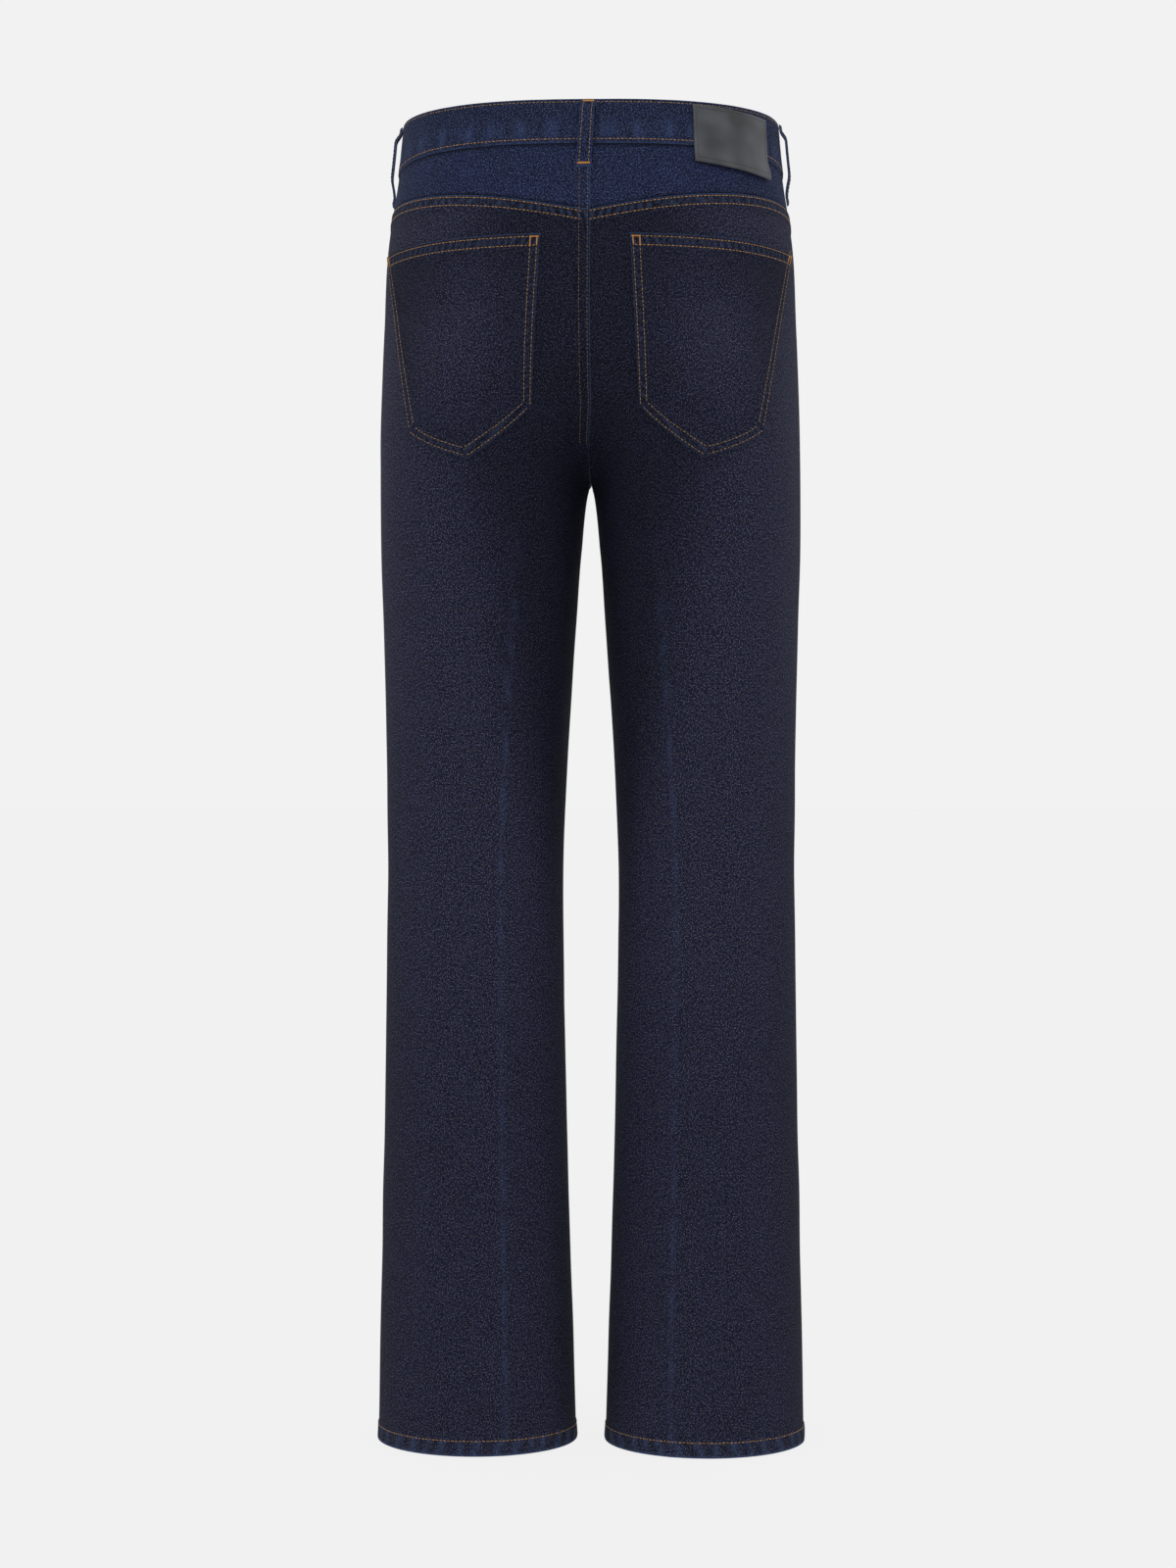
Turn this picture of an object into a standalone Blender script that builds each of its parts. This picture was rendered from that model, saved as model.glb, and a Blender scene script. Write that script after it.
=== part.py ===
# Straight leg jeans, filled out and upright as if worn, open at the waist and at both hems.
# Metres, +Z up. The origin is the centre of the waist opening, level with the waistband's top edge.
# The wearer faces -Y, so the wearer's left is +X. "drop" is the depth below the waistband's top edge.
import math
from collections import namedtuple

import bmesh
import bpy
import numpy as np

# Driving dimensions
LENGTH = 1.080
CROTCH = 0.297
SEAT_CURVE = 0.130
FRONT_CURVE = 0.085
RISE_POWER = 2 / 3
CLEFT_ROUND = 0.015
CLEFT_FADE = 0.200
ARCH_DEPTH = 0.049
SIDE_SEAM_FORWARD = 0.010

# Cloth
DENIM = 0.0012
HALF_GAP = 0.00015
LAY = 0.0005
BAND_PROUD = 0.0010
BAND_THICK = 0.0024
HEM_TALL = 0.014
HEM_STEP = 0.0008
HEM_PROUD = 0.0007
HEM_THICK = 0.0028

# Waistband and yoke
BAND_TALL_BACK = 0.0375
BAND_TALL_SIDE = 0.0430
BAND_TURN = 12
BAND_GAP = 0.0006
BAND_LAP = 0.00135
LAP_OUTER_END = 0.024
LAP_INNER_END = 0.032
LAP_RUN = 0.030
YOKE_MIDDLE = 0.0943
YOKE_CURVE = (-0.0299, -0.0294, 0.0433)

# Fly and hip pockets
FLY_LAP = 0.006
FLY_END = 0.190
FLY_CLOSE = 0.025
FLY_WIDE = 0.032
FLY_PROUD = 0.0008
SCOOP_START = 0.55
SCOOP_DEEP = 0.075
FACING_MARGIN = 0.016
FACING_LAY = 0.0010

# Level rows of the leg panels
BACK_FIRST_ROW = 0.124
FRONT_FIRST_ROW = 0.190
CROTCH_ROWS = 0.012
LEG_STEPS = 9
BACK_EVEN = 0.262
FRONT_EVEN = 0.222
BACK_COLUMNS = 11
BACK_BLEND = 2
BACK_STEPS = BACK_BLEND + 25

# A row for each level: the side's distance from the middle, half the gap between the legs,
# the depths of back and front, and the power that squares the oval.
Section = namedtuple("Section", "drop side gap back front square")
SECTIONS = (
    Section(0.000, 0.1535, 0.0000, 0.1050, 0.1050, 2.25),
    Section(0.042, 0.1575, 0.0000, 0.1190, 0.1100, 2.30),
    Section(0.103, 0.1660, 0.0000, 0.1330, 0.1150, 2.42),
    Section(0.168, 0.1692, 0.0000, 0.1410, 0.1190, 2.40),
    Section(0.217, 0.1709, 0.0000, 0.1400, 0.1150, 2.35),
    Section(0.266, 0.1721, 0.0000, 0.1320, 0.1090, 2.30),
    Section(0.297, 0.1725, 0.0000, 0.1240, 0.1050, 2.25),
    Section(0.346, 0.1725, 0.0073, 0.1110, 0.0990, 2.20),
    Section(0.411, 0.1709, 0.0121, 0.1000, 0.0930, 2.15),
    Section(0.476, 0.1692, 0.0166, 0.0900, 0.0860, 2.10),
    Section(0.541, 0.1684, 0.0202, 0.0800, 0.0770, 2.05),
    Section(0.606, 0.1676, 0.0227, 0.0720, 0.0690, 2.00),
    Section(0.670, 0.1684, 0.0227, 0.0710, 0.0660, 2.00),
    Section(0.735, 0.1692, 0.0215, 0.0720, 0.0660, 2.00),
    Section(0.800, 0.1700, 0.0202, 0.0730, 0.0670, 2.00),
    Section(0.865, 0.1717, 0.0186, 0.0740, 0.0690, 2.00),
    Section(0.930, 0.1725, 0.0166, 0.0750, 0.0710, 2.00),
    Section(0.994, 0.1741, 0.0146, 0.0755, 0.0735, 2.00),
    Section(LENGTH, 0.1753, 0.0121, 0.0755, 0.0755, 2.00),
)

# Corners of a back pocket, in turn: metres of cloth from the side seam, and drop
Corner = namedtuple("Corner", "from_side drop")
POCKET = {
    "inner_top": Corner(0.2223, 0.1122),
    "outer_top": Corner(0.0520, 0.1135),
    "outer_end": Corner(0.1294, 0.2642),
    "tip": Corner(0.1784, 0.2858),
    "inner_end": Corner(0.2347, 0.2450),
}
POCKET_THICK = 0.0013

# Belt loops: the part of the half girth from the back middle, side, and length
Loop = namedtuple("Loop", "name girth side long")
LOOPS = (
    Loop("belt_loop_back", 0.000, 1, 0.0570),
    Loop("belt_loop_side_left", 0.490, 1, 0.0660),
    Loop("belt_loop_side_right", 0.490, -1, 0.0660),
    Loop("belt_loop_front_left", 0.800, 1, 0.0620),
    Loop("belt_loop_front_right", 0.800, -1, 0.0620),
)
LOOP_WIDE = 0.0118
LOOP_TOP = 0.001
LOOP_THICK = 0.0019
LOOP_STAND = 0.0037

# Leather patch on the right of the waistband, and the waist button
PATCH_START = 0.086
PATCH_TOP = 0.0028
PATCH_LEAN = 0.0030
PATCH_WIDE = 0.071
PATCH_TALL = 0.049
PATCH_THICK = 0.0014
BUTTON_RADIUS = 0.0085
BUTTON_DOME = 0.0030
BUTTON_SHANK = 0.0040
BUTTON_LIFT = 0.0012

# Fly shield, zip and its slider, inside the front
SHIELD = {"left": 0.036, "right": -0.030, "top": 0.0440, "end": 0.200}
ZIP = {"middle": 0.006, "half": 0.014, "chain": 0.0030, "top": 0.0440, "end": 0.186}
ZIP_TAPE = 0.0007
ZIP_CHAIN_PROUD = 0.0010
ZIP_BOW = 0.0045
INSIDE_LAY = 0.0005
SLIDER = {"top": 0.047, "body": 0.013, "end": 0.083, "half": 0.0042, "tab_half": 0.0026}

# Colours, as linear red, green and blue
DENIM_BLUE = (0.018, 0.021, 0.046)
BAND_BLUE = (0.032, 0.039, 0.075)
LEATHER_BLACK = (0.070, 0.075, 0.085)
TAPE_BLUE = (0.012, 0.014, 0.030)
BRASS = (0.560, 0.360, 0.140)

DROPS = np.array([s.drop for s in SECTIONS])
COLUMNS = {f: np.array([getattr(s, f) for s in SECTIONS]) for f in Section._fields}
SLOPES = {f: np.gradient(COLUMNS[f], DROPS) for f in Section._fields}
OVAL_STEPS = 240
STEP = 1e-5


def ease(t):
    t = min(max(t, 0.0), 1.0)
    return t * t * (3 - 2 * t)


def read(field, drop):
    # a column of the section table, read on a smooth curve through its rows
    i = int(np.clip(np.searchsorted(DROPS, drop) - 1, 0, len(DROPS) - 2))
    run = DROPS[i + 1] - DROPS[i]
    t = (drop - DROPS[i]) / run
    low, high = COLUMNS[field][i], COLUMNS[field][i + 1]
    rise, fall = SLOPES[field][i] * run, SLOPES[field][i + 1] * run
    return (
        low * (2 * t**3 - 3 * t**2 + 1)
        + rise * (t**3 - 2 * t**2 + t)
        + high * (3 * t**2 - 2 * t**3)
        + fall * (t**3 - t**2)
    )


def leg_gap(drop):
    # half the gap between the legs: a narrow arch at the crotch, then the table
    below = drop - CROTCH
    if below < ARCH_DEPTH:
        return read("gap", CROTCH + ARCH_DEPTH) * math.sqrt(max(below, 0.0) / ARCH_DEPTH)
    return read("gap", drop)


def quarter(drop, depth, curve_height, cleft):
    # one face's outline on the wearer's left, from the rise seam or the inseam to the side
    power = read("square", drop)
    far = math.hypot(read("side", drop), cleft)
    start = math.pi
    if drop < CROTCH:
        lift = min((CROTCH - drop) / curve_height, 1.0)
        reach = (lift * (2 - lift)) ** RISE_POWER
        cut = (1 - reach**power) ** (1 / power)
        middle = (cut * far + cleft) / (1 + cut)
        start -= math.asin(reach ** (power / 2))
    else:
        middle = (far + math.hypot(leg_gap(drop), cleft)) / 2
    t = np.linspace(0, 1, OVAL_STEPS + 1)
    turn = start * (1 - t * t * (2 - t))
    cosine, sine = np.cos(turn), np.abs(np.sin(turn))
    out = middle + (far - middle) * np.sign(cosine) * np.abs(cosine) ** (2 / power)
    x = np.sqrt(np.maximum(out**2 - cleft**2, 0))
    return np.column_stack([x, depth * sine ** (2 / power)])


def half_ring(drop):
    # the wearer's left half of a section, from the back middle round the side to the front middle,
    # with the length of cloth at each point and the length at the side seam
    cleft = CLEFT_ROUND * (1 - ease((drop - CROTCH) / CLEFT_FADE)) + 1e-6
    back = quarter(drop, read("back", drop), SEAT_CURVE, cleft)
    front = quarter(drop, read("front", drop), FRONT_CURVE, cleft)[::-1] * (1, -1)
    ring = np.vstack([back, front[1:]])
    runs = np.hypot(*np.diff(ring, axis=0).T)
    lengths = np.concatenate([[0], np.cumsum(runs)])
    return ring, lengths, lengths[OVAL_STEPS] + SIDE_SEAM_FORWARD


def girth(drop):
    return half_ring(drop)[1][-1]


def side_seam(drop):
    ring, lengths, seam = half_ring(drop)
    return seam / lengths[-1]


def bare_point(g, drop):
    ring, lengths, seam = half_ring(drop)
    at = g * lengths[-1]
    return np.array([np.interp(at, lengths, ring[:, 0]), np.interp(at, lengths, ring[:, 1]), -drop])


def surface(g, drop, out, side=1):
    # g is the part of the half girth from the back middle (0) to the front middle (1);
    # past the middle it goes on round the other half. out is along the cloth's normal.
    if g < 0:
        g, side = -g, -side
    if g > 1:
        g, side = 2 - g, -side
    point = bare_point(g, drop)
    along = bare_point(min(g + STEP, 1), drop) - bare_point(max(g - STEP, 0), drop)
    down = bare_point(g, min(drop + STEP, LENGTH)) - bare_point(g, max(drop - STEP, 0))
    normal = np.cross(along, down)
    point = point + out * normal / np.linalg.norm(normal)
    return point * (side, 1, 1)


def wall(columns, rows, place, side=1, keep=None):
    # A closed wall of cloth: a grid whose points place(s, t) puts at g, drop, outer and inner
    # offset, then extruded inwards. keep(point, s, drop) may hold a border off its neighbour.
    bm = bmesh.new()
    bmesh.ops.create_grid(bm, x_segments=columns, y_segments=rows, size=0.5)
    order = bm.verts.layers.int.new("order")
    for v in bm.verts:
        v[order] = round((v.co.x + 0.5) * columns) * (rows + 1) + round((0.5 - v.co.y) * rows)
    made = bmesh.ops.extrude_face_region(bm, geom=bm.faces[:], use_keep_orig=True)
    inner = {v for v in made["geom"] if isinstance(v, bmesh.types.BMVert)}
    for v in bm.verts:
        s, t = v[order] // (rows + 1) / columns, v[order] % (rows + 1) / rows
        g, drop, outer_out, inner_out = place(s, t)
        point = surface(g, drop, inner_out if v in inner else outer_out)
        if keep:
            point = keep(point, s, drop)
        v.co = point * (side, 1, 1)
    orient(bm)
    return bm


def sheet(name, columns, rows, place, material, side=1, keep=None):
    return finish(name, wall(columns, rows, place, side, keep), material)


def orient(bm):
    bmesh.ops.recalc_face_normals(bm, faces=bm.faces[:])
    if bm.calc_volume(signed=True) < 0:
        bmesh.ops.reverse_faces(bm, faces=bm.faces[:])


def finish(name, bm, material):
    orient(bm)
    mesh = bpy.data.meshes.new(name)
    bm.to_mesh(mesh)
    bm.free()
    mesh.shade_smooth()
    mesh.set_sharp_from_angle(angle=math.radians(40))
    mesh.materials.append(material)
    piece = bpy.data.objects.new(name, mesh)
    bpy.context.scene.collection.objects.link(piece)
    return piece


def stuff(name, colour, roughness, metallic=0.0):
    material = bpy.data.materials.new(name)
    material.use_nodes = True
    shader = material.node_tree.nodes["Principled BSDF"]
    shader.inputs["Base Color"].default_value = (*colour, 1)
    shader.inputs["Roughness"].default_value = roughness
    shader.inputs["Metallic"].default_value = metallic
    return material


def band_end(g):
    # drop of the waistband's lower edge, a little deeper at the sides than at back and front
    return BAND_TALL_BACK + (BAND_TALL_SIDE - BAND_TALL_BACK) * math.sin(math.pi * g) ** BAND_TURN


def front_top(wide):
    # drop of the front's upper edge under the waistband; wide runs from the front middle to the side
    return band_end(1 - wide * (1 - side_seam(BAND_TALL_SIDE))) + BAND_GAP


def yoke_end(across):
    # drop of the yoke seam, deepest at the back middle; across runs from there to the side seam
    return YOKE_MIDDLE + sum(part * across**n for n, part in enumerate(YOKE_CURVE, 1))


def from_side(s, length, even):
    # length of cloth back from the side seam at column s: even columns, while what the crotch adds
    # to the panel's width goes to those nearest the middle
    return (1 - s) * min(length, even) + (1 - s) ** 7 * max(length - even, 0)


def body_rows(first, seat_steps):
    # drops of the leg panels' level rows: even over the seat, close together at the crotch, even
    # down the leg, then the folded hem
    seat = np.linspace(first, CROTCH - CROTCH_ROWS, seat_steps + 1)
    fork = [CROTCH - CROTCH_ROWS / 6] + [CROTCH + ARCH_DEPTH * v * v for v in (0.0, 0.3, 0.6, 1.0)]
    leg = np.linspace(CROTCH + ARCH_DEPTH, LENGTH - HEM_TALL, LEG_STEPS + 1)[1:]
    return [*seat, *fork, *leg, LENGTH - HEM_TALL + HEM_STEP, LENGTH]


def hem_offsets(drop, proud):
    # the folded hem stands proud of the leg and is three layers thick
    if drop > LENGTH - HEM_TALL + 0.0001:
        return HEM_PROUD, HEM_PROUD - HEM_THICK
    return proud, -DENIM


def hold_middle(face):
    # keeps a panel on its own side of the rise seam, and of the inseam below the crotch
    def keep(point, s, drop):
        if face > 0 or drop > FLY_END + FLY_CLOSE:
            point[0] = max(point[0], HALF_GAP)
        if s == 0 and drop >= CROTCH:
            point[1] = face * max(face * point[1], HALF_GAP)
        return point

    return keep


def back_grid(s, t):
    # a back panel's points, from the rise seam (s 0) to the side seam and from yoke to hem
    rows = body_rows(BACK_FIRST_ROW, 9)
    j = round(t * BACK_STEPS)
    top = yoke_end(s) + HALF_GAP
    drop = top + (rows[0] - top) * j / BACK_BLEND if j < BACK_BLEND else rows[j - BACK_BLEND]
    span, seam = girth(drop), side_seam(drop) * girth(drop)
    return max(seam - from_side(s, seam - HALF_GAP, BACK_EVEN) - HALF_GAP, 0) / span, drop


def back_panel(side, name, denim):
    def place(s, t):
        g, drop = back_grid(s, t)
        return (g, drop, *hem_offsets(drop, 0))

    return sheet(name, BACK_COLUMNS, BACK_STEPS, place, denim, side, hold_middle(1))


def scoop(s):
    # the front's upper edge as the part of the front's width from the middle, and the drop below
    # the waistband: level, then a quarter oval down to the side seam
    level = 5 / 12
    if s <= level:
        return SCOOP_START * s / level, 0.0
    turn = math.pi / 2 * (s - level) / (1 - level)
    return SCOOP_START + (1 - SCOOP_START) * (1 - math.cos(turn)), SCOOP_DEEP * math.sin(turn)


def front_panel(side, name, denim):
    rows = body_rows(FRONT_FIRST_ROW, 5)
    blend = 6

    def place(s, t):
        j = round(t * (len(rows) - 1 + blend))
        down = min(j / blend, 1.0)
        wide, deep = scoop(s)
        top = front_top(wide) + deep
        wide += (s - wide) * down
        drop = top + (rows[0] - top) * down if j < blend else rows[j - blend]
        seam = side_seam(drop)
        span = girth(drop)
        front = span * (1 - seam) - HALF_GAP
        g = min(seam + (from_side(wide, front, FRONT_EVEN) + HALF_GAP) / span, 1)
        open_part = 1 - ease((drop - FLY_END) / FLY_CLOSE)
        lap = side * FLY_LAP * open_part - HALF_GAP
        g += (1 - wide) ** 6 * lap / span
        proud = FLY_PROUD * open_part * (side > 0) * (wide * (1 - seam) * span < FLY_WIDE)
        return (g, drop, *hem_offsets(drop, proud))

    return sheet(name, 12, len(rows) - 1 + blend, place, denim, side, hold_middle(-1))


def yoke(side, name, denim):
    def place(s, t):
        g = s * side_seam(0.06)
        top, end = band_end(g) + BAND_GAP, yoke_end(s) - HALF_GAP
        drop = top + (end - top) * t
        g = s * (side_seam(drop) - HALF_GAP / girth(drop))
        return g, drop, 0, -DENIM

    return sheet(name, 11, 3, place, denim, side, hold_middle(1))


def waistband(denim):
    # one strip, from the wearer's right end that lies under at the front middle, round the back,
    # to the wearer's left end that laps over it
    span = girth(0.02)
    first, last = -1 - LAP_INNER_END / span, 1 + LAP_OUTER_END / span

    def place(s, t):
        g = first + (last - first) * s
        under = ease((-g * span - (span - LAP_OUTER_END - LAP_RUN)) / (LAP_RUN - 0.004))
        over = ease((g * span - (span - LAP_INNER_END - LAP_RUN)) / (LAP_RUN - 0.004))
        shift = BAND_LAP * (over - under)
        folded = abs(g) if abs(g) <= 1 else 2 - abs(g)
        drop = (band_end(folded) - HALF_GAP) * t
        return g, drop, shift + BAND_PROUD, shift + BAND_PROUD - BAND_THICK

    return sheet("waistband", 60, 2, place, denim)


def back_pocket(side, name, denim):
    # the back panel's own points moved out, then cut to the pocket's five edges
    def place(s, t):
        return (*back_grid(s, t), LAY + POCKET_THICK, LAY)

    bm = wall(BACK_COLUMNS, BACK_STEPS, place, side)
    corners = [(side_seam(c.drop) - c.from_side / girth(c.drop), c.drop) for c in POCKET.values()]
    middle = surface(*np.mean(corners, axis=0), 0, side)
    for a, b in zip(corners, corners[1:] + corners[:1]):
        first, last = surface(*a, 0, side), surface(*b, 0, side)
        half = np.mean([a, b], axis=0)
        normal = surface(*half, 1, side) - surface(*half, 0, side)
        away = np.cross(last - first, normal)
        away *= np.sign(np.dot(away, first - middle))
        whole = bm.verts[:] + bm.edges[:] + bm.faces[:]
        bmesh.ops.bisect_plane(bm, geom=whole, plane_co=first, plane_no=away, clear_outer=True)
        bmesh.ops.holes_fill(bm, edges=[e for e in bm.edges if e.is_boundary])
    return finish(name, bm, denim)


def hip_facing(side, name, denim):
    # the piece that shows behind the scooped mouth of the hip pocket
    def place(s, t):
        start = SCOOP_START - 0.07
        wide = start + (1 - start) * s
        past = max(wide - SCOOP_START, 0) / (1 - SCOOP_START)
        deep = FACING_MARGIN + SCOOP_DEEP * math.sqrt(1 - (1 - past) ** 2)
        drop = front_top(wide) + FACING_LAY + deep * t
        g = 1 - wide * (1 - side_seam(drop) - HALF_GAP / girth(drop))
        return g, drop, -DENIM - FACING_LAY, -2 * DENIM - FACING_LAY

    return sheet(name, 8, 5, place, denim, side)


def strip(name, across, rows, top, end, layers, material):
    # a strip inside the fly; across lists its lines of points from the left edge to the right one,
    # as distances from the zip's middle, and layers gives the outer and inner offsets at each
    def place(s, t):
        x = across[round(s * (len(across) - 1))]
        drop = top + (end - top) * t
        return (1 - (ZIP["middle"] + x) / girth(drop), drop, *layers(x))

    return sheet(name, len(across) - 1, rows, place, material)


def fly_inside(denim, tape, brass):
    # the zip hangs back from the fly, to leave room for its slider, and the shield lies behind it
    lay = -DENIM - INSIDE_LAY
    lines = [ZIP["half"], ZIP["half"] * 0.68, ZIP["half"] * 0.36]
    lines += [-x for x in reversed(lines)]
    chain = [ZIP["chain"] + ZIP_TAPE / 7, ZIP["chain"], -ZIP["chain"], -ZIP["chain"] - ZIP_TAPE / 7]

    def bow(x):
        return ZIP_BOW * ease((ZIP["half"] - abs(x)) / (ZIP["half"] * 0.64))

    def zip_layers(x):
        proud = ZIP_CHAIN_PROUD * (abs(x) <= ZIP["chain"])
        return lay - bow(x) + proud, lay - bow(x) - ZIP_TAPE

    def shield_layers(x):
        outer = lay - bow(x) - ZIP_TAPE - INSIDE_LAY
        return outer, outer - DENIM

    strip("fly_zip", lines[:3] + chain + lines[3:], 2, ZIP["top"], ZIP["end"], zip_layers, tape)
    edges = [SHIELD["left"] - ZIP["middle"]], [SHIELD["right"] - ZIP["middle"]]
    strip("fly_shield", edges[0] + lines + edges[1], 2, SHIELD["top"], SHIELD["end"], shield_layers, denim)

    def slider_place(s, t):
        drop = SLIDER["top"] + (SLIDER["end"] - SLIDER["top"]) * t
        body = drop <= SLIDER["top"] + SLIDER["body"]
        half = SLIDER["half"] if body else SLIDER["tab_half"]
        x = ZIP["middle"] + half * (1 - 2 * s)
        near = lay - 0.0004 if body else lay - 0.0012
        return 1 - x / girth(drop), drop, near, lay - ZIP_BOW + ZIP_CHAIN_PROUD + 0.0004

    sheet("zip_slider", 2, 9, slider_place, brass)


def belt_loop(loop, denim):
    # a folded strip tacked at both ends, standing off the waistband between them
    def place(s, t):
        drop = LOOP_TOP + loop.long * t
        shift = (s - 0.5) * LOOP_WIDE / girth(0.03)
        on_band = 1 - ease((drop - 0.040) / 0.012)
        stand = ease((drop - 0.004) / 0.010) * (1 - ease((drop - 0.030) / 0.016))
        inner = LAY + BAND_PROUD * on_band + LOOP_STAND * stand
        return loop.girth + shift, drop, inner + LOOP_THICK, inner

    return sheet(loop.name, 2, 10, place, denim, loop.side)


def leather_patch(leather):
    def place(s, t):
        drop = PATCH_TOP + PATCH_LEAN * s + PATCH_TALL * t
        across = PATCH_START + PATCH_WIDE * s
        inner = LAY + BAND_PROUD
        return across / girth(0.02), drop, inner + PATCH_THICK, inner

    return sheet("leather_patch", 10, 5, place, leather, -1)


def waist_button(brass):
    # a shank button through the lapped end of the waistband: a domed cap on a short round neck
    bm = bmesh.new()
    cap = [(BUTTON_RADIUS * math.sin(a), BUTTON_DOME * math.cos(a)) for a in np.linspace(0, 1.35, 6)]
    rim = [(cap[-1][0], -0.0006), (BUTTON_SHANK, -0.0006), (BUTTON_SHANK, -BUTTON_LIFT), (0, -BUTTON_LIFT)]
    profile = [bm.verts.new((r, 0, h)) for r, h in cap + rim]
    edges = [bm.edges.new(pair) for pair in zip(profile, profile[1:])]
    bmesh.ops.spin(bm, geom=profile + edges, axis=(0, 0, 1), cent=(0, 0, 0), steps=16,
                   angle=math.tau, use_merge=True)
    bmesh.ops.remove_doubles(bm, verts=bm.verts[:], dist=1e-6)
    button = finish("waist_button", bm, brass)
    drop = BAND_TALL_BACK / 2
    foot = surface(1, drop, BAND_PROUD + BAND_LAP)
    normal = surface(1, drop, BAND_PROUD + BAND_LAP + 0.001) - foot
    button.location = foot + normal / 0.001 * (BUTTON_LIFT + LAY)
    button.rotation_euler = (math.atan2(-normal[1], normal[2]), 0, 0)
    return button


def build():
    for old in list(bpy.data.objects):
        bpy.data.objects.remove(old)
    denim = stuff("denim", DENIM_BLUE, 0.85)
    band = stuff("waistband_denim", BAND_BLUE, 0.85)
    leather = stuff("black_leather", LEATHER_BLACK, 0.5)
    tape = stuff("zip_tape", TAPE_BLUE, 0.9)
    brass = stuff("brass", BRASS, 0.35, 1.0)
    for side, word in ((1, "left"), (-1, "right")):
        back_panel(side, f"back_{word}", denim)
        front_panel(side, f"front_{word}", denim)
        yoke(side, f"yoke_{word}", denim)
        back_pocket(side, f"back_pocket_{word}", denim)
        hip_facing(side, f"hip_facing_{word}", denim)
    waistband(band)
    for loop in LOOPS:
        belt_loop(loop, band)
    fly_inside(denim, tape, brass)
    leather_patch(leather)
    waist_button(brass)


build()
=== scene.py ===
import math

import bmesh
import bpy
import numpy as np
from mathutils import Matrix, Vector


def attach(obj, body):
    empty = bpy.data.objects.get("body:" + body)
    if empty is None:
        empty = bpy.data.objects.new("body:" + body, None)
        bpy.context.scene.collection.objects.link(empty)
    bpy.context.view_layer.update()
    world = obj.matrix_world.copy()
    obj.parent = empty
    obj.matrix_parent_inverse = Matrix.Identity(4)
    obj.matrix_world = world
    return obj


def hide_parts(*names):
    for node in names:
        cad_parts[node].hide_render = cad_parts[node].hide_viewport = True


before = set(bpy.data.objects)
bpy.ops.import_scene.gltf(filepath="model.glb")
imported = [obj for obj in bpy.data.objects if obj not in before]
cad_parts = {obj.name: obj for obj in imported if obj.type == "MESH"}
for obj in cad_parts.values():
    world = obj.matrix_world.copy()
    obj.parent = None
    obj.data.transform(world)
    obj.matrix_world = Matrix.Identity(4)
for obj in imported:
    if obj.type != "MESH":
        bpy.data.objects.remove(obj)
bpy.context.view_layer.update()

# Straight leg jeans. Metres, +Z up, origin in the middle of the waist opening, the wearer's front
# at -Y and left at +X. A place on the cloth is g, the part of the half girth from the back middle (0)
# round the side to the front middle (1), and drop, the depth below the waistband's top edge.

print("frame loaded")

body = {
    "length": 1.080,
    "crotch": 0.297,
    "seatCurve": 0.130,
    "frontCurve": 0.085,
    "risePower": 2 / 3,
    "cleftRound": 0.015,
    "cleftFade": 0.200,
    "archDepth": 0.049,
    "sideSeamForward": 0.010,
}
# drop, side's distance from the middle, half the gap between the legs, depth of back and of front,
# and the power that squares the oval
fields = ("drop", "side", "gap", "back", "front", "square")
sections = np.array(
    [
        (0.000, 0.1535, 0.0000, 0.1050, 0.1050, 2.25),
        (0.042, 0.1575, 0.0000, 0.1190, 0.1100, 2.30),
        (0.103, 0.1660, 0.0000, 0.1330, 0.1150, 2.42),
        (0.168, 0.1692, 0.0000, 0.1410, 0.1190, 2.40),
        (0.217, 0.1709, 0.0000, 0.1400, 0.1150, 2.35),
        (0.266, 0.1721, 0.0000, 0.1320, 0.1090, 2.30),
        (0.297, 0.1725, 0.0000, 0.1240, 0.1050, 2.25),
        (0.346, 0.1725, 0.0073, 0.1110, 0.0990, 2.20),
        (0.411, 0.1709, 0.0121, 0.1000, 0.0930, 2.15),
        (0.476, 0.1692, 0.0166, 0.0900, 0.0860, 2.10),
        (0.541, 0.1684, 0.0202, 0.0800, 0.0770, 2.05),
        (0.606, 0.1676, 0.0227, 0.0720, 0.0690, 2.00),
        (0.670, 0.1684, 0.0227, 0.0710, 0.0660, 2.00),
        (0.735, 0.1692, 0.0215, 0.0720, 0.0660, 2.00),
        (0.800, 0.1700, 0.0202, 0.0730, 0.0670, 2.00),
        (0.865, 0.1717, 0.0186, 0.0740, 0.0690, 2.00),
        (0.930, 0.1725, 0.0166, 0.0750, 0.0710, 2.00),
        (0.994, 0.1741, 0.0146, 0.0755, 0.0735, 2.00),
        (1.080, 0.1753, 0.0121, 0.0755, 0.0755, 2.00),
    ]
)
cloth = {"denim": 0.0012, "halfGap": 0.00015, "lay": 0.0005}
# nominal widths that the panels' columns are spaced on
panelWidth = {"back": 0.262, "front": 0.222, "yoke": 0.170}
hem = {"tall": 0.0132, "proud": 0.0007, "thick": 0.0028, "row": 0.0122, "rope": 0.0145}


def ease(t):
    t = np.clip(t, 0, 1)
    return t * t * (3 - 2 * t)


def hump(x, centre, width):
    return np.exp(-(((x - centre) / width) ** 2))


def wobble(x, size):
    # a smooth wave without a steady beat, from about -1 to 1
    turn = math.tau * x / size
    return (np.sin(turn + 0.3) + 0.6 * np.sin(1.73 * turn + 1.7) + 0.5 * np.sin(2.61 * turn + 4.1)) / 1.7


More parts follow.
